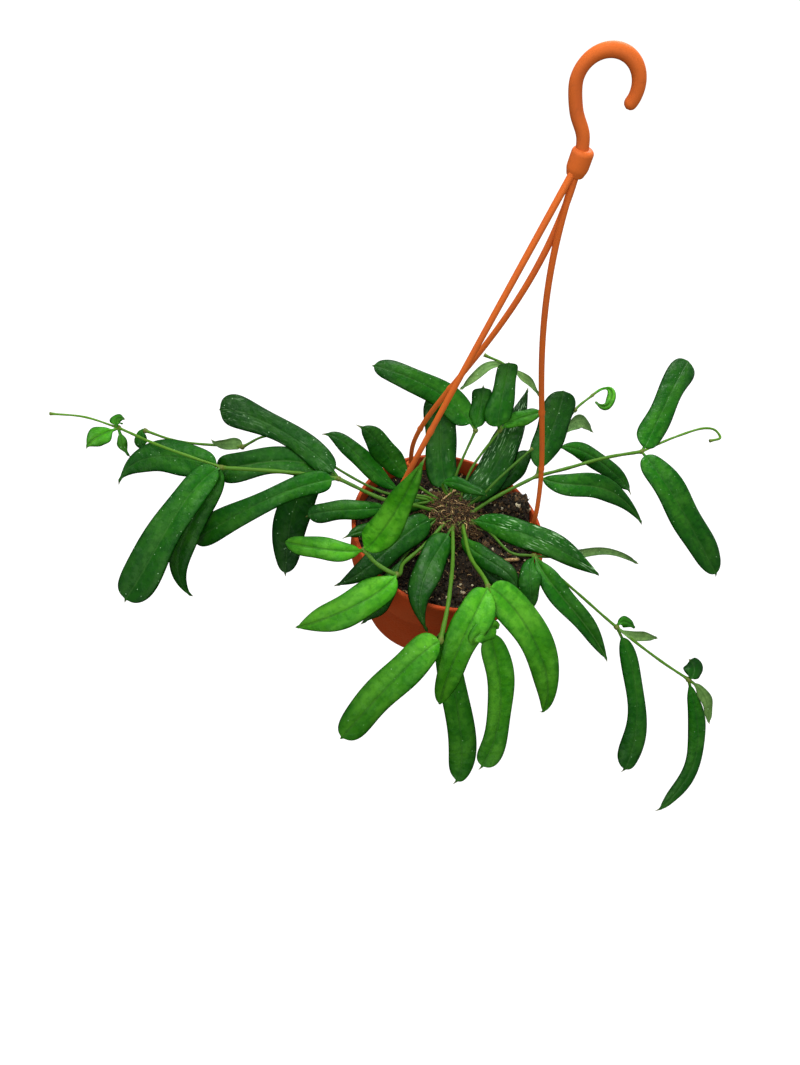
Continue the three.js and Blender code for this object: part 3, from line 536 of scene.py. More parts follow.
    root, tip = (2, 1, 0), (5, -98, 30)
    grow("stem_front", root, [
        ([root, (5, -31, 10), (5, -65, 28), (5, -82, 33), tip], STEM_RADIUS, 0.5),
    ], [tip], [
        ([tip, (-5, -110, 27), (-17, -124, 8), (-30, -140, -19)], (18, 17, 17),
         dict(stalk=3, phase=5, age=0.25, mottle=0.2, tip=8)),
        ([tip, (14, -88, -2), (35, -104, -50), (43, -124, -80)], (12, 16, 17),
         dict(stalk=12, phase=2, age=0.4, mottle=0.2, tip=4)),
        ([root, (-5, -29, 7), (-9, -58, 10), (-0.5, -76, 0)], (17, 16, 10),
         dict(stalk=10, phase=5, age=0.8, heel=9, tip=2)),
    ])

    root, node, tip = (8, 3.5, 0), (23, -64, 38), (30, -77, 18)
    grow("stem_front_right", root, [
        ([root, (14, -30, 15), node, (27, -71, 32), tip], STEM_RADIUS, 0.4),
    ], [node, tip], [
        ([node, (18, -85, 35), (15, -100, 17), (16, -110, -13)], (20, 17, 13),
         dict(fold=8, stalk=3, phase=1, age=0.15, mottle=0, heel=4, mucro=9)),
        ([node, (43, -71, 30), (66, -81, 4), (77, -91, -28)], (20, 18, 13),
         dict(fold=6, stalk=3, phase=4, age=0.15, mottle=0, heel=4, mucro=8)),
        ([tip, (45, -88, -8), (54, -101, -36), (53, -119, -60)], (17, 14, 15),
         dict(fold=8, stalk=3, age=0.25, mottle=0, heel=4, tip=7, mucro=5)),
        ([tip, (31.5, -80, 27), (24, -89.5, 33), (22, -94.5, 29)], (7, 11, 9),
         dict(stalk=2, mucro=1, age=0.1, mottle=0)),
        ([root, (16, -16, 4), (31.5, -26, 8), (45.5, -36, 5)], (11, 12, 10),
         dict(stalk=8, phase=1, mucro=2, age=0.7, heel=4)),
        ([root, (21, -18, -3), (31, -27, -2), (40, -32, -4)], (8, 9, 8), dict(stalk=8, mucro=2, age=1)),
    ])

    root, node = (-4, 23, 0), (1, 56, 31)
    grow("stem_back_left", root, [([root, (-3, 38, 12), node], TWIG_RADIUS, 0.6)], [node], [
        ([node, (-22, 63, 44), (-47, 61, 54), (-70, 61, 56)], (19, 16, 14),
         dict(phase=3, mucro=3, mottle=0.2, tip=6, heel=5)),
        ([node, (0.5, 60.5, 37), (0, 68, 43), (-1.5, 75, 50)], (11, 13, 13),
         dict(stalk=3, mucro=2, age=0.6, tip=14)),
        ([root, (-14, 41, 10), (-21, 57, 25), (-24, 75, 36)], (20, 20, 22),
         dict(stalk=7, phase=1, age=0.8, mottle=0.4, heel=10, tip=8)),
        ([root, (-9.5, 23.5, 12), (2, 21.5, 16), (16.5, 19.5, 15)], (8, 8, 7),
         dict(stalk=13, mucro=2, heel=3, tip=3)),
    ])

    root, node, top = (3, 23, 0), (16, 61, 32), (11, 95, 54)
    grow("stem_back", root, [
        ([root, (5, 40, 12), node], TWIG_RADIUS, 0.6),
        ([node, (15, 81, 40), top, (-6, 97, 58)], TWIG_RADIUS, 0.3),
    ], [node, top], [
        ([node, (12, 63.5, 44), (11, 76, 55), (9.5, 86, 65)], (19, 15, 13),
         dict(phase=1, mucro=0.5, age=0.6, tip=14, heel=4)),
        ([node, (23, 67, 37), (30, 70, 41), (38, 75, 43)], (9, 10, 9),
         dict(stalk=3, mucro=2, age=0.3, mottle=0)),
        ([top, (-1, 85, 60), (-9, 73, 58), (-15, 64, 54)], (5, 6, 4),
         dict(face=TURNED_UNDER, stalk=3, mucro=2, age=0.4)),
        ([top, (20, 92, 54), (28, 89, 51), (35, 86, 47)], (4, 5, 3),
         dict(face=TURNED_UNDER, stalk=3, mucro=2, age=0.4)),
        ([root, (16.5, 38.5, 10), (24.5, 68, 23), (28.5, 97, 39)], (20, 21, 15),
         dict(stalk=4, phase=3, age=0.95, mottle=0.9, tip=2)),
        ([root, (25, 43, 0), (33, 53, 10), (40, 60, 21)], (12, 14, 12), dict(stalk=16, mucro=2, age=0.9)),
    ])

    root = (8.5, 20, 0)
    grow("stem_cut_back", root, [
        ([root, (15, 24, 8), (23, 33, 19), (38, 50.5, 34)], TWIG_RADIUS, 0.9),
    ])

    root = (-10, 19, 0)
    grow("crown_leaves_left", root, leaves=[
        ([root, (-41, -4, 6), (-65, -16, 8), (-84, -22, 2)], (12, 12, 12),
         dict(stalk=30, phase=1, age=0.6, tip=7)),
        ([root, (-41, 11, 10), (-66, 16, 24), (-86, 18, 32)], (11, 12, 9), dict(stalk=25, phase=2, age=0.6)),
        ([root, (-37, 19, 16), (-53, 18, 34), (-66, 17, 46)], (15, 15, 11), dict(stalk=20, phase=4, age=0.7)),
        ([root, (-17, 18, -3), (-23, 12, -2), (-31, 2, 0)], (8, 9, 7), dict(stalk=7, mucro=2)),
    ])

    root = (-8.5, 4, 0)
    grow("crown_leaves_front", root, leaves=[
        ([root, (-25, -22, 9), (-38, -48, 11), (-54, -66, 6)], (18, 17, 12),
         dict(stalk=7, phase=2, age=0.9, tip=2.4, heel=9)),
        ([root, (-27, -13, 3), (-42, -22, 7), (-57, -34, 9)], (8, 9, 8), dict(stalk=15, phase=3, age=0.6)),
        ([root, (-26, -46, 3), (-29, -67.5, 4), (-35, -79, -4)], (11, 13, 9),
         dict(stalk=24, phase=1, age=0.9, tip=2.4)),
    ])


# Pot and hanger

def foot_place(azimuth):
    """Where a foot of the hanger stands."""
    return FOOT_RADIUS * towards(radians(azimuth))


def pot():
    """One moulded shell turned from a rounded profile, with three slabs inside the rim that hold the
    hanger's feet, and drain holes cut through its base."""
    shell = Surface()
    # Out over the base's raised middle, up the outside, over the lip and down the inside
    profile = [
        (0, -POT_HEIGHT + 0.6), (30, -POT_HEIGHT + 0.6), (36, -POT_HEIGHT), (BASE_RADIUS, -POT_HEIGHT),
        (SHOULDER_RADIUS, -COLLAR_HEIGHT), (COLLAR_FOOT_RADIUS, -COLLAR_HEIGHT), (RIM_RADIUS - 0.2, -3.4),
        (LIP_RADIUS, -2.8), (LIP_RADIUS, -0.8), (RIM_RADIUS, 0), (RIM_RADIUS - WALL + 0.4, 0),
        (RIM_RADIUS - WALL, -0.6), (COLLAR_FOOT_RADIUS - WALL, -COLLAR_HEIGHT + 1),
        (SHOULDER_RADIUS - WALL, -COLLAR_HEIGHT - 2), (BASE_RADIUS - WALL, -POT_HEIGHT + WALL),
        (0, -POT_HEIGHT + WALL),
    ]
    add_lathe(shell, rounded(profile, 0.9), (0, 0), 180)
    made = shell.piece("pot_moulded", [POT_PLASTIC])
    drill = Surface()
    for i in range(DRAIN_HOLES):
        low, high = -POT_HEIGHT - 2, -POT_HEIGHT + 6
        add_lathe(drill, [(0, low), (DRAIN_RADIUS, low), (DRAIN_RADIUS, high), (0, high)],
                  DRAIN_CIRCLE * towards(tau * i / DRAIN_HOLES), 32)
    tool = drill.piece("drain_drill", [POT_PLASTIC])
    cut = made.modifiers.new("drain_holes", "BOOLEAN")
    cut.operation, cut.solver, cut.object = "DIFFERENCE", "EXACT", tool
    bpy.context.view_layer.update()
    drilled = bpy.data.meshes.new_from_object(made.evaluated_get(bpy.context.evaluated_depsgraph_get()))
    made.modifiers.clear()
    made.data = drilled
    bpy.data.objects.remove(tool)

    ears = Surface()
    for arm in ARMS:
        add_ear(ears, arm["azimuth"])
    slabs = ears.piece("pot_ears", [POT_PLASTIC])
    for piece in (made, slabs):
        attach(piece, "root")
    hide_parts("pot")


def add_ear(surface, azimuth):
    """A slab that runs inwards from the wall: rings of a squarish oval, |x|^6 + |y|^6 = 1, drawn in to a
    rounded end."""
    reach = np.linspace(RIM_RADIUS - 1, FOOT_RADIUS - EAR_WIDTH / 2, 18)
    angle = turns(40)
    squarish = (np.abs(np.cos(angle)) ** 6 + np.abs(np.sin(angle)) ** 6) ** (-1 / 6)
    to_end = reach - reach[-1]
    drawn_in = np.sqrt(np.clip((to_end + 0.05) / EAR_ROUNDING, 0, 1)
                       * (2 - np.clip(to_end / EAR_ROUNDING, 0, 1)))
    width = EAR_WIDTH / 2 * np.clip(drawn_in, 0.15, 1)
    across = width[:, None] * squarish * np.cos(angle)
    height = EAR_TOP - EAR_THICKNESS / 2 + EAR_THICKNESS / 2 * squarish * np.sin(angle) + 0 * across
    out = towards(radians(azimuth))
    sideways = np.array([-out[1], out[0]])
    level = reach[:, None, None] * out + across[..., None] * sideways
    surface.add_rings(np.concatenate([level, height[..., None]], -1), 0)


def arm_path(arm):
    """From the ear up: the straight line from the foot to the join, pushed out by a hump 4t(1-t) times the
    bow and by the same hump times (1-2t) times the sway."""
    t = np.linspace(0.03, 1, 15)[:, None]
    foot = foot_place(arm["azimuth"])
    hump = 4 * t * (1 - t)
    level = foot * (1 - t) + hump * np.array(arm["bow"]) + hump * (1 - 2 * t) * np.array(arm["sway"])
    height = ARMS_FREE_HEIGHT + (ARMS_JOIN_HEIGHT - ARMS_FREE_HEIGHT) * t
    foot_end = [[*foot, EAR_TOP - EAR_THICKNESS - 2], [*foot, 1]]
    return through(np.vstack([foot_end, np.hstack([level, height])]), 9)


def hanger():
    """Three strands that rise from the ears and meet under the hook. Each has two small moulded rings, each
    a bell exp(-x^2) of the length along it, and a knob above and below its ear. The hook is a bent round
    bar with a rounded tip."""
    surface = Surface()
    for arm in ARMS:
        path = arm_path(arm)
        climbed = (path[:, 2] - ARMS_FREE_HEIGHT) / (ARMS_JOIN_HEIGHT - ARMS_FREE_HEIGHT)
        rings = sum(np.exp(-(((climbed - share) * ARMS_JOIN_HEIGHT / ARM_RING_HALF_LENGTH) ** 2))
                    for share in ARM_RING_SHARES)
        add_tube(surface, path, ARM_RADIUS + ARM_RING_RISE * rings, 0, 16)
        above = EAR_TOP + CLEARANCE
        below = EAR_TOP - EAR_THICKNESS - CLEARANCE
        for low, high in ((above, above + 1.6), (below - 2, below)):
            knob = rounded([(0, low), (KNOB_RADIUS, low), (KNOB_RADIUS, high), (0, high)], 0.6)
            add_lathe(surface, knob, foot_place(arm["azimuth"]), 32)
    join = ARMS_JOIN_HEIGHT
    collar = [(0, join - 7), (3.2, join - 7), (4.2, join - 4), (4.2, join + 2), (3.2, join + 3),
              (0, join + 3)]
    add_lathe(surface, rounded(collar, 0.8), (0, 0), 40)
    bend = np.radians(np.arange(190, -31, -20))
    curve = np.stack([HOOK_RADIUS * np.cos(bend), 0 * bend,
                      HOOK_CENTRE_HEIGHT + HOOK_RADIUS * np.sin(bend)], -1)
    path = through(np.vstack([[(0, 0, join), (-2, 0, join + 7), (-7, 0, join + 14)], curve]), 8)
    from_end = np.linalg.norm(path - path[-1], axis=1)
    tip = np.sqrt(np.clip(1 - np.clip(1 - from_end / 2.2, 0, 1) ** 2, 0.02, 1))
    add_tube(surface, path, HOOK_WIRE_RADIUS * tip, 0, 20)
    made = surface.piece("hanger_moulded", [HANGER_PLASTIC])
    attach(made, "root")
    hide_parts("hanger")


# Potting mix and moss plug

def mix_height(x, y):
    """The level of the mix, with a heap that falls off as exp(-distance^2 / spread) and two gentle waves."""
    heap = HEAP_HEIGHT * np.exp(-((x - HEAP_CENTRE[0]) ** 2 + (y - HEAP_CENTRE[1]) ** 2) / HEAP_SPREAD)
    waves = 0.8 * np.sin(0.28 * x + 1.1) * np.cos(0.25 * y) + 0.4 * np.sin(0.17 * x - 0.33 * y)
    return MIX_LEVEL + heap + waves


def on_mix(spot, above):
    """The point that far above the mix at a spot."""
    return np.array([*spot, mix_height(*spot) + above])


def scattered(draw, radius):
    """A random spot, evenly likely all over a disc, and its distance from the disc's middle."""
    distance, angle = radius * sqrt(draw.uniform()), draw.uniform(0, tau)
    return distance * towards(angle), distance


def crumbly(x, y):
    """Crumbs of 5, 2.3 and 1.2 mm as noise of those sizes, added up. The middle one is folded upwards."""
    return (0.9 * lattice_noise(x, y, 5.0, 3) + 0.7 * np.abs(lattice_noise(x, y, 2.3, 5))
            + 0.45 * lattice_noise(x, y, 1.2, 8) - 0.3)


def add_crumb(surface, place, size, finish, draw):
    """A small ball, stretched along its axes and lumpy by 30 %, with a few faces because there are many."""
    polar = np.linspace(0.1, pi - 0.1, 5)[:, None]
    angle = turns(6)[None]
    lumps = size * (1 + 0.3 * np.sin(2 * angle + draw.uniform(0, 6)) * np.sin(3 * polar + draw.uniform(0, 6)))
    stretch = draw.uniform(0.6, 1.2, 3)
    surface.add_rings(ball(polar, angle) * lumps[..., None] * stretch + place, finish)


def add_ground(surface, side, skin, around, height_at, centre=(0, 0)):
    """A closed body: rings that follow its side, given as radius and height from the foot's middle up, and
    then rings of the skin's radii, at the height that height_at gives for a radius, x and y."""
    radius = np.concatenate([[r for r, _ in side], skin])[:, None]
    angle = turns(around)
    x, y = radius * np.cos(angle), radius * np.sin(angle)
    z = height_at(radius, x, y)
    z[: len(side)] = np.array([h for _, h in side])[:, None]
    surface.add_rings(np.stack([x + centre[0], y + centre[1], z], -1), 0)


def potting_mix():
    """The mix with its crumbled top, and on it loose crumbs, perlite, sprigs of moss and straws. The heap
    has more crumbs, and root hairs that stand out from it."""
    surface = Surface()
    peat, perlite, straw, crumb, sprig, fibre = range(6)
    inner, gap = COLLAR_FOOT_RADIUS - WALL, 0.5
    side = [(POLE_RADIUS, MIX_FLOOR), (BASE_RADIUS - WALL - gap, MIX_FLOOR),
            (SHOULDER_RADIUS - WALL - gap, -COLLAR_HEIGHT - 2), (inner - gap, -COLLAR_HEIGHT + 2),
            (inner, MIX_LEVEL - gap)]
    add_ground(surface, side, np.linspace(inner, POLE_RADIUS, 104), 270,
               lambda radius, x, y: mix_height(x, y) + crumbly(x, y))

    draw = np.random.default_rng(MIX_SEED)
    for count, smallest, largest, finish in [(700, 0.5, 1.9, peat), (520, 0.3, 1.3, crumb),
                                             (150, 0.35, 1.0, perlite), (70, 0.3, 0.6, sprig)]:
        for _ in range(count):
            spot = scattered(draw, CRUMBS_REACH)[0]
            if np.linalg.norm(spot - PLUG_CENTRE) > PLUG_RADIUS:
                place = on_mix(spot, max(0.3, crumbly(*spot)))
                add_crumb(surface, place, draw.uniform(smallest, largest), finish, draw)
    # The larger grains of perlite lie where the photograph shows them
    for x, y, size in [(40, 28, 2.6), (-20, 22, 1.8), (-16, 35, 1.5), (-12, 31, 1.4), (31, 28, 1.4),
                       (17, -38, 1.7), (15, -33, 1.1), (4, -47, 1.1), (22, -31, 0.9), (31, 1, 1.1),
                       (48, 30, 1.0)]:
        add_crumb(surface, on_mix((x, y), 0.5), size, perlite, draw)
    for i in range(170):
        spot = HEAP_CENTRE + draw.normal(0, 6, 2)
        if np.linalg.norm(spot) < 56:
            place = on_mix(spot, draw.uniform(0.2, 1.4))
            add_crumb(surface, place, draw.uniform(0.7, 1.9), (peat, crumb, peat)[i % 3], draw)
            if i % 3 == 0:
                hair = place + draw.uniform(2, 4) * unit(draw.normal(0, 1, 3) + (0, 0, 1.3))
                path = through([place, (place + hair) / 2 + (0.4, 0, 0), hair], 3)
                add_tube(surface, path, 0.16, fibre, 5)
    add_crumb(surface, on_mix((26, 1.5), 1), 3.2, crumb, draw)
    # Six thick straws in set places, and fine ones at random
    straws = [((2, 56), (0, 45), 0.9), ((-1, 41), (-3, 34), 0.8), ((2, 38), (-4, 33), 0.8),
              ((-21, -26), (-12, -16), 0.8), ((-13, -15), (-3, -9), 0.8), ((38, -7), (48, -3), 1.1)]
    for _ in range(220):
        start = scattered(draw, STRAWS_REACH)[0]
        way = towards(draw.uniform(0, tau))
        end = start + draw.uniform(1.5, 5) * way
        straws.append((start, end, draw.uniform(0.1, 0.3)))
    for start, end, thickness in straws:
        first, last = on_mix(start, 0.7), on_mix(end, 0.7)
        path = through([first, (first + last) / 2 + (0, 0, 0.5), last], 4)
        add_tube(surface, path, thickness, straw if thickness > 0.2 else fibre, 6)
    made = surface.piece("potting_mix_crumbly", [PEAT, PERLITE, STRAW, CRUMB, MOSS_SPRIG, BROWN_FIBRE])
    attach(made, "root")
    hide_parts("potting_mix")


def plug_height(radius):
    """Flat where the stems stand, domed inside their ring, with smooth steps, and falling off as a square
    at the plug's edge."""
    dome = (PLUG_CROWN - PLUG_TOP) * (1 - smooth(radius, 4.5, 10.5))
    return PLUG_TOP + dome - 4.5 * np.clip((radius - 15) / 3, 0, 1) ** 2


def moss_plug():
    """A cup-shaped plug with a crumbly top. Short fibres lie over it, piled up outside the ring of stems,
    and loose crumbs, a tuft of green sprigs and one dry blade lie on it."""
    surface = Surface()
    moss, fibre, sprig, straw, crumb = range(5)
    side = [(POLE_RADIUS, PLUG_FOOT), (11, PLUG_FOOT), (PLUG_RADIUS, MIX_LEVEL - 4)]
    add_ground(surface, side, np.linspace(PLUG_RADIUS, POLE_RADIUS, 48), 140,
               lambda radius, x, y: plug_height(radius) + 0.8 * crumbly(1.3 * x + 50, 1.3 * y), PLUG_CENTRE)

    draw = np.random.default_rng(PLUG_SEED)
    share = (fibre, fibre, moss, fibre, straw, fibre, sprig, moss, fibre, fibre, moss, fibre)
    for i in range(2100):
        spot, r = scattered(draw, PLUG_RADIUS + 2)
        way = towards(draw.uniform(0, tau))
        pile = draw.uniform(-0.2, 1.2 + 4.6 * smooth(r, 7, 10) * (1 - smooth(r, 13, 19)))
        start = np.array([*(PLUG_CENTRE + spot), plug_height(min(r, PLUG_RADIUS)) + pile])
        reach = draw.uniform(1.5, 8) * np.array([*way, draw.uniform(-0.3, 0.25)])
        middle = start + reach / 2 + (*draw.uniform(-1.2, 1.2, 2), draw.uniform(0, 1.3))
        path = through([start, middle, start + reach], 3)
        add_tube(surface, path, draw.uniform(0.1, 0.34), share[i % len(share)], 5)
    for _ in range(90):
        spot = np.array([-4, 26]) + draw.normal(0, 2.2, 2)
        start = np.array([*spot, plug_height(np.linalg.norm(spot - PLUG_CENTRE)) + draw.uniform(0, 1.5)])
        reach = draw.uniform(1, 3) * unit(draw.normal(0, 1, 3) + (0, 0, 1))
        path = through([start, start + reach / 2 + (0.2, 0, 0.1), start + reach], 3)
        add_tube(surface, path, 0.3, sprig, 5)
    for i in range(160):
        spot, r = scattered(draw, PLUG_RADIUS)
        place = np.array([*(PLUG_CENTRE + spot), plug_height(r) + draw.uniform(0.2, 1.6)])
        add_crumb(surface, place, draw.uniform(0.4, 1.1), (moss, fibre, moss, crumb)[i % 4], draw)
    dry_blade = [(-0.5, 30, 1.5), (-5, 23, 2.4), (-9, 17, 0.5)]
    add_tube(surface, through(dry_blade, 6), 0.45, straw, 6)
    made = surface.piece("moss_plug_fibrous", [MOSS, BROWN_FIBRE, MOSS_SPRIG, STRAW, CRUMB])
    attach(made, "root")
    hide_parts("moss_plug")


# Materials

def linear(hex_colour):
    """sRGB hex to linear red, green, blue and alpha."""
    parts = [int(hex_colour[i:i + 2], 16) / 255 for i in (1, 3, 5)]
    return (*[p / 12.92 if p <= 0.04045 else ((p + 0.055) / 1.055) ** 2.4 for p in parts], 1.0)


def add(tree, kind, settings=None, inputs=None):
    """Adds a node. An input is a constant, a node, whose first output is linked, or a node with an output."""
    made = tree.nodes.new("ShaderNode" + kind)
    for name, value in (settings or {}).items():
        setattr(made, name, value)
    for key, value in (inputs or {}).items():
        if isinstance(value, bpy.types.Node):
            tree.links.new(value.outputs[0], made.inputs[key])
        elif isinstance(value, tuple) and isinstance(value[0], bpy.types.Node):
            tree.links.new(value[0].outputs[value[1]], made.inputs[key])
        else:
            made.inputs[key].default_value = value
    return made


def new_finish(name, **constants):
    """A material with constants on its shader's own sockets, which are named with _ for a space."""
    finish = bpy.data.materials.new(name)
    finish.use_nodes = True
    shader = finish.node_tree.nodes["Principled BSDF"]
    for socket, value in constants.items():
        shader.inputs[socket.replace("_", " ")].default_value = value
    return finish, finish.node_tree, shader


def connect(tree, shader, **sources):
    """Leads nodes into the shader's sockets, named with _ for a space."""
    for socket, node in sources.items():
        tree.links.new(node.outputs[0], shader.inputs[socket.replace("_", " ")])


SMOOTHLY = {"interpolation_type": "SMOOTHSTEP"}
TIMES = {"operation": "MULTIPLY"}


def leaf_skin(name, young, middle, old, roughness, gloss):
    """Living hoya leaf, thick and waxy, so it shines softly. The age of a leaf sets its green. Clouds that
    are stretched along the blade break it up. Painted light brightens it near the heel, and painted shade
    darkens it towards its tip and margins, where the curved blade turns from the light. Its midrib is a
    dark channel when young and at most a faint pale line later, and silver flecks lie in patches on a
    mottled leaf. Sizes are in mm, because the marks are."""
    finish, tree, shader = new_finish(name, IOR=1.45, Specular_IOR_Level=gloss)
    flat, blade, habit = [(add(tree, "Attribute", {"attribute_name": mark}), "Vector") for mark in MARKS]
    spot, blade, habit = [add(tree, "SeparateXYZ", None, {0: mark}) for mark in (flat, blade, habit)]
    growing = add(tree, "MapRange", None, {0: habit, 1: 0.0, 2: 0.5})
    ageing = add(tree, "MapRange", None, {0: habit, 1: 0.5, 2: 1.0})
    green = add(tree, "MixRGB", None, {0: growing, 1: linear(young), 2: linear(middle)})
    green = add(tree, "MixRGB", None, {0: ageing, 1: green, 2: linear(old)})

    # Lighter, yellower clouds about 20 mm long and 8 mm wide, and a darker marbling of 3 mm
    drawn_out = add(tree, "Mapping", None, {"Vector": flat, "Scale": (1 / 20, 1 / 8, 1.0)})
    cloud = add(tree, "TexNoise", None, {"Vector": drawn_out, "Scale": 1.0, "Detail": 3.0})
    cloud = add(tree, "MapRange", SMOOTHLY, {0: cloud, 1: 0.4, 2: 0.68, 3: 0.0, 4: 0.85})
    yellower = {"Hue": 0.487, "Saturation": 0.97, "Value": 1.55, "Color": green}
    lighter = add(tree, "HueSaturation", None, yellower)
    green = add(tree, "MixRGB", None, {0: cloud, 1: green, 2: lighter})
    marble = add(tree, "TexNoise", None, {"Vector": flat, "Scale": 1 / 3, "Detail": 4.0})
    marble = add(tree, "MapRange", SMOOTHLY, {0: marble, 1: 0.42, 2: 0.66, 3: 0.0, 4: 0.6})
    darker = add(tree, "HueSaturation", None, {"Hue": 0.51, "Value": 0.68, "Color": green})
    green = add(tree, "MixRGB", None, {0: marble, 1: green, 2: darker})

    # Painted light near the heel and painted shade towards the tip and the margins, then the midrib
    # Painted light and shade: the green's value is 1.24 at the heel and falls to 0.6 at the tip
    painted_heel_light_tip_shade = add(tree, "MapRange", None, {0: blade, 1: 0.1, 2: 1.0, 3: 1.24, 4: 0.6})
    green = add(tree, "HueSaturation", None, {"Value": painted_heel_light_tip_shade, "Color": green})
    off_middle = add(tree, "Math", {"operation": "ABSOLUTE"}, {0: (blade, 1)})
    # Painted shade: the outer half of each side darkens and turns bluer towards the margin, where the curved
    # blade turns from the light
    margin = add(tree, "MapRange", SMOOTHLY, {0: off_middle, 1: 0.5, 2: 1.0, 3: 0.0, 4: 0.75})
    shaded = add(tree, "HueSaturation", None, {"Hue": 0.508, "Value": 0.6, "Color": green})
    green = add(tree, "MixRGB", None, {0: margin, 1: green, 2: shaded})
    off_rib = add(tree, "Math", {"operation": "ABSOLUTE"}, {0: (spot, 1)})
    midrib = add(tree, "MapRange", SMOOTHLY, {0: off_rib, 1: 0.8, 2: 0.15, 3: 0.0, 4: 1.0})
    channel = add(tree, "MapRange", None, {0: habit, 1: 0.0, 2: 0.8, 3: 0.45, 4: 0.05})
    channel = add(tree, "Math", TIMES, {0: channel, 1: midrib})
    green = add(tree, "MixRGB", None, {0: channel, 1: green, 2: linear("#0F3A08")})
    ribbed = add(tree, "Math", TIMES, {0: midrib, 1: (habit, 2)})
    ribbed = add(tree, "Math", TIMES, {0: ribbed, 1: 0.14})
    green = add(tree, "MixRGB", None, {0: ribbed, 1: green, 2: linear("#6FA050")})

    # Silver flecks, under 1 mm wide and 7 mm long at most, in patches of 14 mm, and pale dots of about half
    # a millimetre, one in each 3.6 mm. Real ones are finer, but would not show.
    streak = add(tree, "Mapping", None, {"Vector": flat, "Scale": (1 / 7, 1 / 0.8, 1.0)})
    streak = add(tree, "TexNoise", None, {"Vector": streak, "Scale": 1.0, "Detail": 3.0})
    streak = add(tree, "MapRange", SMOOTHLY, {0: streak, 1: 0.55, 2: 0.66})
    patch = add(tree, "TexNoise", None, {"Vector": flat, "Scale": 1 / 14, "Detail": 1.0})
    patch = add(tree, "MapRange", SMOOTHLY, {0: patch, 1: 0.46, 2: 0.6, 3: 0.0, 4: 0.8})
    streak = add(tree, "Math", TIMES, {0: streak, 1: patch})
    silvered = add(tree, "MapRange", None, {0: (habit, 1), 1: 0.3, 2: 1.0})
    streak = add(tree, "Math", TIMES, {0: streak, 1: silvered})
    dots = add(tree, "TexVoronoi", None, {"Vector": flat, "Scale": 1 / 3.6})
    dots = add(tree, "MapRange", SMOOTHLY, {0: dots, 1: 0.1, 2: 0.04, 3: 0.0, 4: 0.8})
    dotted = add(tree, "MapRange", None, {0: (habit, 1), 1: 0.0, 2: 0.3, 3: 0.1, 4: 1.0})
    dots = add(tree, "Math", TIMES, {0: dots, 1: dotted})
    flecked = add(tree, "Math", {"operation": "MAXIMUM"}, {0: streak, 1: dots})
    green = add(tree, "MixRGB", None, {0: flecked, 1: green, 2: linear("#9CC492")})

    # The dry brown point
    dry = add(tree, "MapRange", SMOOTHLY, {0: blade, 1: 1.01, 2: 1.06, 3: 0.0, 4: 0.7})
    green = add(tree, "MixRGB", None, {0: dry, 1: green, 2: linear("#6E6A3A")})

    # Rougher where it is marbled, with the midrib as a groove and swellings of about 7 mm
    dull = add(tree, "MapRange", None, {0: marble, 1: 0.0, 2: 0.6, 3: roughness, 4: roughness + 0.1})
    relief = add(tree, "Math", {"operation": "MULTIPLY_ADD"}, {0: midrib, 1: -0.7, 2: marble})
    bump = add(tree, "Bump", None, {"Strength": 0.6, "Distance": 0.45 * MM, "Height": relief})
    swell = add(tree, "TexNoise", None, {"Vector": flat, "Scale": 1 / 7, "Detail": 1.0})
    bump = add(tree, "Bump", None, {"Strength": 0.7, "Distance": 2.0 * MM, "Height": swell, "Normal": bump})
    connect(tree, shader, Base_Color=green, Roughness=dull, Normal=bump)
    return finish


def stem_skin():
    """Green bark of a young vine, smooth, brown and corky at its nodes and towards the old foot."""
    finish, tree, shader = new_finish("green_vine_bark", IOR=1.45, Roughness=0.5, Specular_IOR_Level=0.2)
    flat, blade, habit = [(add(tree, "Attribute", {"attribute_name": mark}), "Vector") for mark in MARKS]
    blade, habit = [add(tree, "SeparateXYZ", None, {0: mark}) for mark in (blade, habit)]
    # Fine streaks, about 8 mm long and 1 mm wide, drawn as coarse as they need to show
    streak = add(tree, "Mapping", None, {"Vector": flat, "Scale": (0.12, 0.9, 1.0)})
    streak = add(tree, "TexNoise", None, {"Vector": streak, "Scale": 1.0, "Detail": 3.0})
    green = add(tree, "MixRGB", None, {0: habit, 1: linear("#487618"), 2: linear("#2C5410")})
    lighter = add(tree, "HueSaturation", None, {"Hue": 0.49, "Value": 1.3, "Color": green})
    green = add(tree, "MixRGB", None, {0: streak, 1: green, 2: lighter})
    corky = add(tree, "MapRange", SMOOTHLY, {0: (blade, 2), 1: 0.35, 2: 1.0, 3: 0.0, 4: 0.5})
    green = add(tree, "MixRGB", None, {0: corky, 1: green, 2: linear("#6A6430")})
    bump = add(tree, "Bump", None, {"Strength": 0.5, "Distance": 0.2 * MM, "Height": streak})
    connect(tree, shader, Base_Color=green, Normal=bump)
    return finish


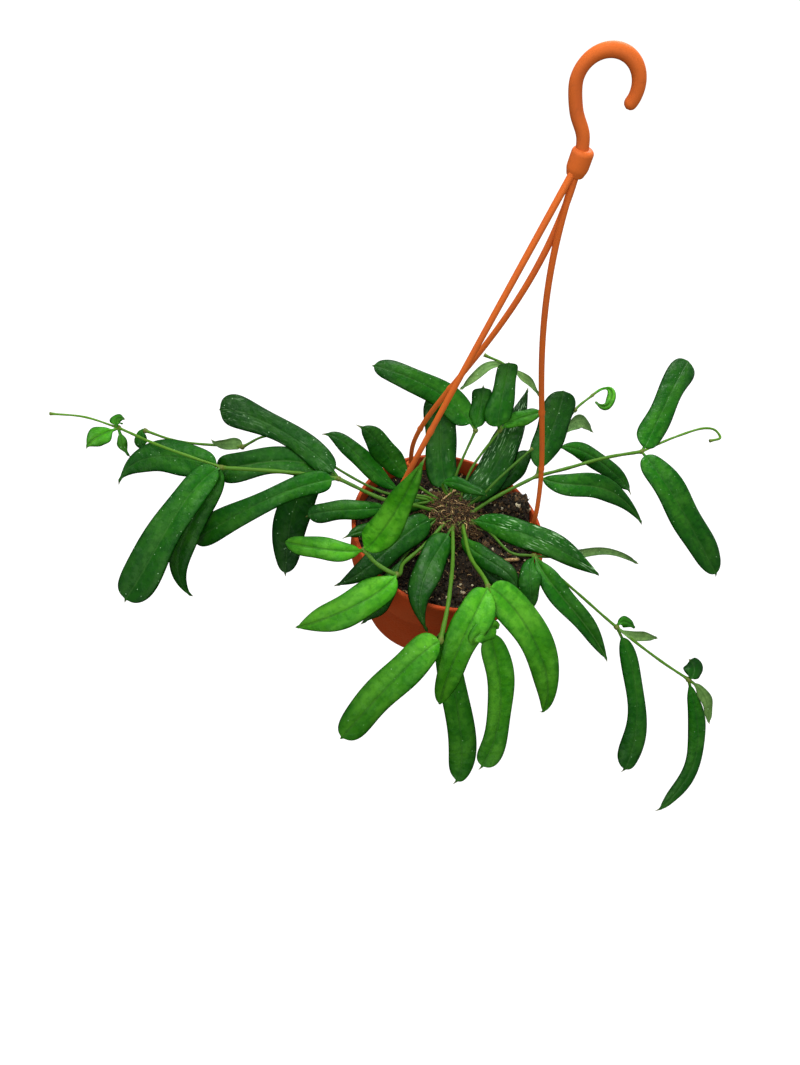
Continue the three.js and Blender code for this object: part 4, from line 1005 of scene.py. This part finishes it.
def moulded_plastic(name, colour, faded, dusty_share, roughness):
    """Injection-moulded polypropylene: satin, with changes of tone over 18 mm and dusty, scuffed patches of
    1.6 mm. Its faint orange-peel skin is drawn at 0.8 mm, as coarse as it needs to show."""
    finish, tree, shader = new_finish(name, IOR=1.49, Specular_IOR_Level=0.05)
    place = (add(tree, "TexCoord"), "Object")
    tone = add(tree, "TexNoise", None, {"Vector": place, "Scale": 1 / (18 * MM), "Detail": 4.0})
    worn = add(tree, "MapRange", SMOOTHLY, {0: tone, 1: 0.42, 2: 0.72, 3: 0.0, 4: 0.6})
    body = add(tree, "MixRGB", None, {0: worn, 1: linear(colour), 2: linear(faded)})
    dust = add(tree, "TexNoise", None, {"Vector": place, "Scale": 1 / (1.6 * MM), "Detail": 5.0})
    dusty = add(tree, "MapRange", SMOOTHLY, {0: dust, 1: 0.56, 2: 0.72, 3: 0.0, 4: dusty_share})
    body = add(tree, "MixRGB", None, {0: dusty, 1: body, 2: linear("#5A3A26")})
    dull = add(tree, "MapRange", None, {0: dust, 1: 0.3, 2: 0.75, 3: roughness - 0.05, 4: roughness + 0.15})
    peel = add(tree, "TexNoise", None, {"Vector": place, "Scale": 1 / (0.8 * MM), "Detail": 1.0})
    bump = add(tree, "Bump", None, {"Strength": 0.2, "Distance": 0.08 * MM, "Height": peel})
    connect(tree, shader, Base_Color=body, Roughness=dull, Normal=bump)
    return finish


def loose_matter(name, dark, light, grain_mm, depth_mm, roughness):
    """Peat, perlite, straw or moss: matt and open-pored, with a grain of the given size in two tones. The
    grain of the fine fibres is drawn coarser than the real one, so that it shows."""
    finish, tree, shader = new_finish(name, Roughness=roughness, IOR=1.4)
    place = (add(tree, "TexCoord"), "Object")
    scale = 1 / (grain_mm * MM)
    grain = add(tree, "TexNoise", None, {"Vector": place, "Scale": scale, "Detail": 6.0})
    tone = add(tree, "MapRange", SMOOTHLY, {0: grain, 1: 0.35, 2: 0.68})
    body = add(tree, "MixRGB", None, {0: tone, 1: linear(dark), 2: linear(light)})
    bump = add(tree, "Bump", None, {"Strength": 0.9, "Distance": depth_mm * MM, "Height": grain})
    connect(tree, shader, Base_Color=body, Normal=bump)
    return finish


# The upper side is a deep green under wax, and the underside is paler, greyer and duller.
LEAF_UPPER = leaf_skin("waxy_leaf_upper_side", "#3E8C12", "#155406", "#0A3A05", 0.36, 0.12)
LEAF_UNDER = leaf_skin("waxy_leaf_underside", "#5C8038", "#50723A", "#405E34", 0.55, 0.1)
GREEN_STEM = stem_skin()

# The pot's plastic is redder, rougher and dustier than the hanger's.
POT_PLASTIC = moulded_plastic("terracotta_polypropylene", "#A8421C", "#A44A26", 0.3, 0.5)
HANGER_PLASTIC = moulded_plastic("orange_brown_polypropylene", "#CE6428", "#C05C30", 0.12, 0.42)

# Damp peat is nearly black, and its loose crumbs dry out brown. Perlite is glass blown up by heat to chalky
# grains, a little yellowed by the peat. Straw is pale and shines faintly, and moss and fibre are dull.
PEAT = loose_matter("damp_peat", "#0D0A05", "#342818", 1.4, 0.8, 0.95)
CRUMB = loose_matter("brown_peat_crumb", "#20160A", "#6A5030", 0.9, 0.4, 0.95)
PERLITE = loose_matter("expanded_perlite", "#9E9069", "#DCD3B4", 0.5, 0.3, 0.9)
STRAW = loose_matter("dry_straw", "#8A6A3E", "#CDB078", 0.9, 0.2, 0.7)
MOSS = loose_matter("sphagnum_moss", "#130D06", "#40301A", 0.9, 0.6, 0.95)
BROWN_FIBRE = loose_matter("brown_coir_fibre", "#20140A", "#765632", 0.7, 0.1, 0.9)
MOSS_SPRIG = loose_matter("green_moss_sprig", "#3E4A18", "#7D8A3E", 0.7, 0.1, 0.9)


# Floor, light and camera

def studio():
    """A pale floor that gives a little light of its own, a soft room that is dark below and pale above, and
    three round lamps. The floor isn't seen in reflections, which would veil the leaves that face down."""
    mesh = bpy.data.meshes.new("studio_floor")
    reach, height = 6.0, (FLOOR_HEIGHT - HOOK_SEAT_HEIGHT) * MM
    mesh.from_pydata([(-reach, -reach, height), (reach, -reach, height), (reach, reach, height),
                      (-reach, reach, height)], [], [(0, 1, 2, 3)])
    floor = bpy.data.objects.new("studio_floor", mesh)
    bpy.context.scene.collection.objects.link(floor)
    paint, _, _ = new_finish("studio_floor_paint", Roughness=0.9, Base_Color=linear("#6E6E6C"),
                             Emission_Color=linear("#FFFFFF"), Emission_Strength=0.95)
    mesh.materials.append(paint)
    floor.visible_glossy = False
    floor.visible_diffuse = False

    world = bpy.data.worlds.new("soft_room")
    world.use_nodes = True
    tree = world.node_tree
    up = add(tree, "SeparateXYZ", None, {0: (add(tree, "TexCoord"), "Generated")})
    high = add(tree, "MapRange", SMOOTHLY, {0: (up, 2), 1: -0.6, 2: 0.25})
    room = add(tree, "MixRGB", None, {0: high, 1: linear("#343A2C"), 2: linear("#F4F7FA")})
    background = tree.nodes["Background"]
    background.inputs["Strength"].default_value = 0.7
    connect(tree, background, Color=room)
    bpy.context.scene.world = world
    bpy.context.scene.view_settings.view_transform = "Standard"
    add_light("window_light", (0.05, 0.62, 0.50), 0.6, 9.5)
    add_light("ceiling_light", (-0.40, -0.15, 0.70), 0.5, 5.5)
    add_light("room_light", (-0.05, -0.80, 0.25), 0.8, 3.5)


def add_light(name, place, size, watts):
    """A round lamp, its place and size in metres, turned to the middle of the pot's rim."""
    lamp = bpy.data.lights.new(name, "AREA")
    lamp.shape, lamp.size, lamp.energy = "DISK", size, watts
    holder = bpy.data.objects.new(name, lamp)
    holder.location = place
    aim = Vector((0, 0, -HOOK_SEAT_HEIGHT * MM)) - Vector(place)
    holder.rotation_euler = aim.to_track_quat("-Z", "Y").to_euler()
    bpy.context.scene.collection.objects.link(holder)


def camera():
    """Looks down at the rim. Rolled, its right and its down are mixed by the roll's sine and cosine."""
    forward = Vector((0, cos(CAMERA_ELEVATION), -sin(CAMERA_ELEVATION)))
    level_down = forward.cross(Vector((1, 0, 0)))
    right = cos(CAMERA_ROLL) * Vector((1, 0, 0)) + sin(CAMERA_ROLL) * level_down
    down = -sin(CAMERA_ROLL) * Vector((1, 0, 0)) + cos(CAMERA_ROLL) * level_down
    place = -(RIM_OFFSET_RIGHT * right + RIM_OFFSET_DOWN * down + CAMERA_DISTANCE * forward)
    lens = bpy.data.cameras.new("camera")
    lens.lens, lens.sensor_width, lens.sensor_fit = CAMERA_LENS, SENSOR_WIDTH, "AUTO"
    lens.clip_start, lens.clip_end = 0.02, 20
    holder = bpy.data.objects.new("camera", lens)
    turned = Matrix((right, -down, -forward)).transposed().to_4x4()
    holder.matrix_world = Matrix.Translation((place - Vector((0, 0, HOOK_SEAT_HEIGHT))) * MM) @ turned
    bpy.context.scene.collection.objects.link(holder)
    bpy.context.scene.camera = holder


camera()
studio()
plant()
pot()
hanger()
potting_mix()
moss_plug()
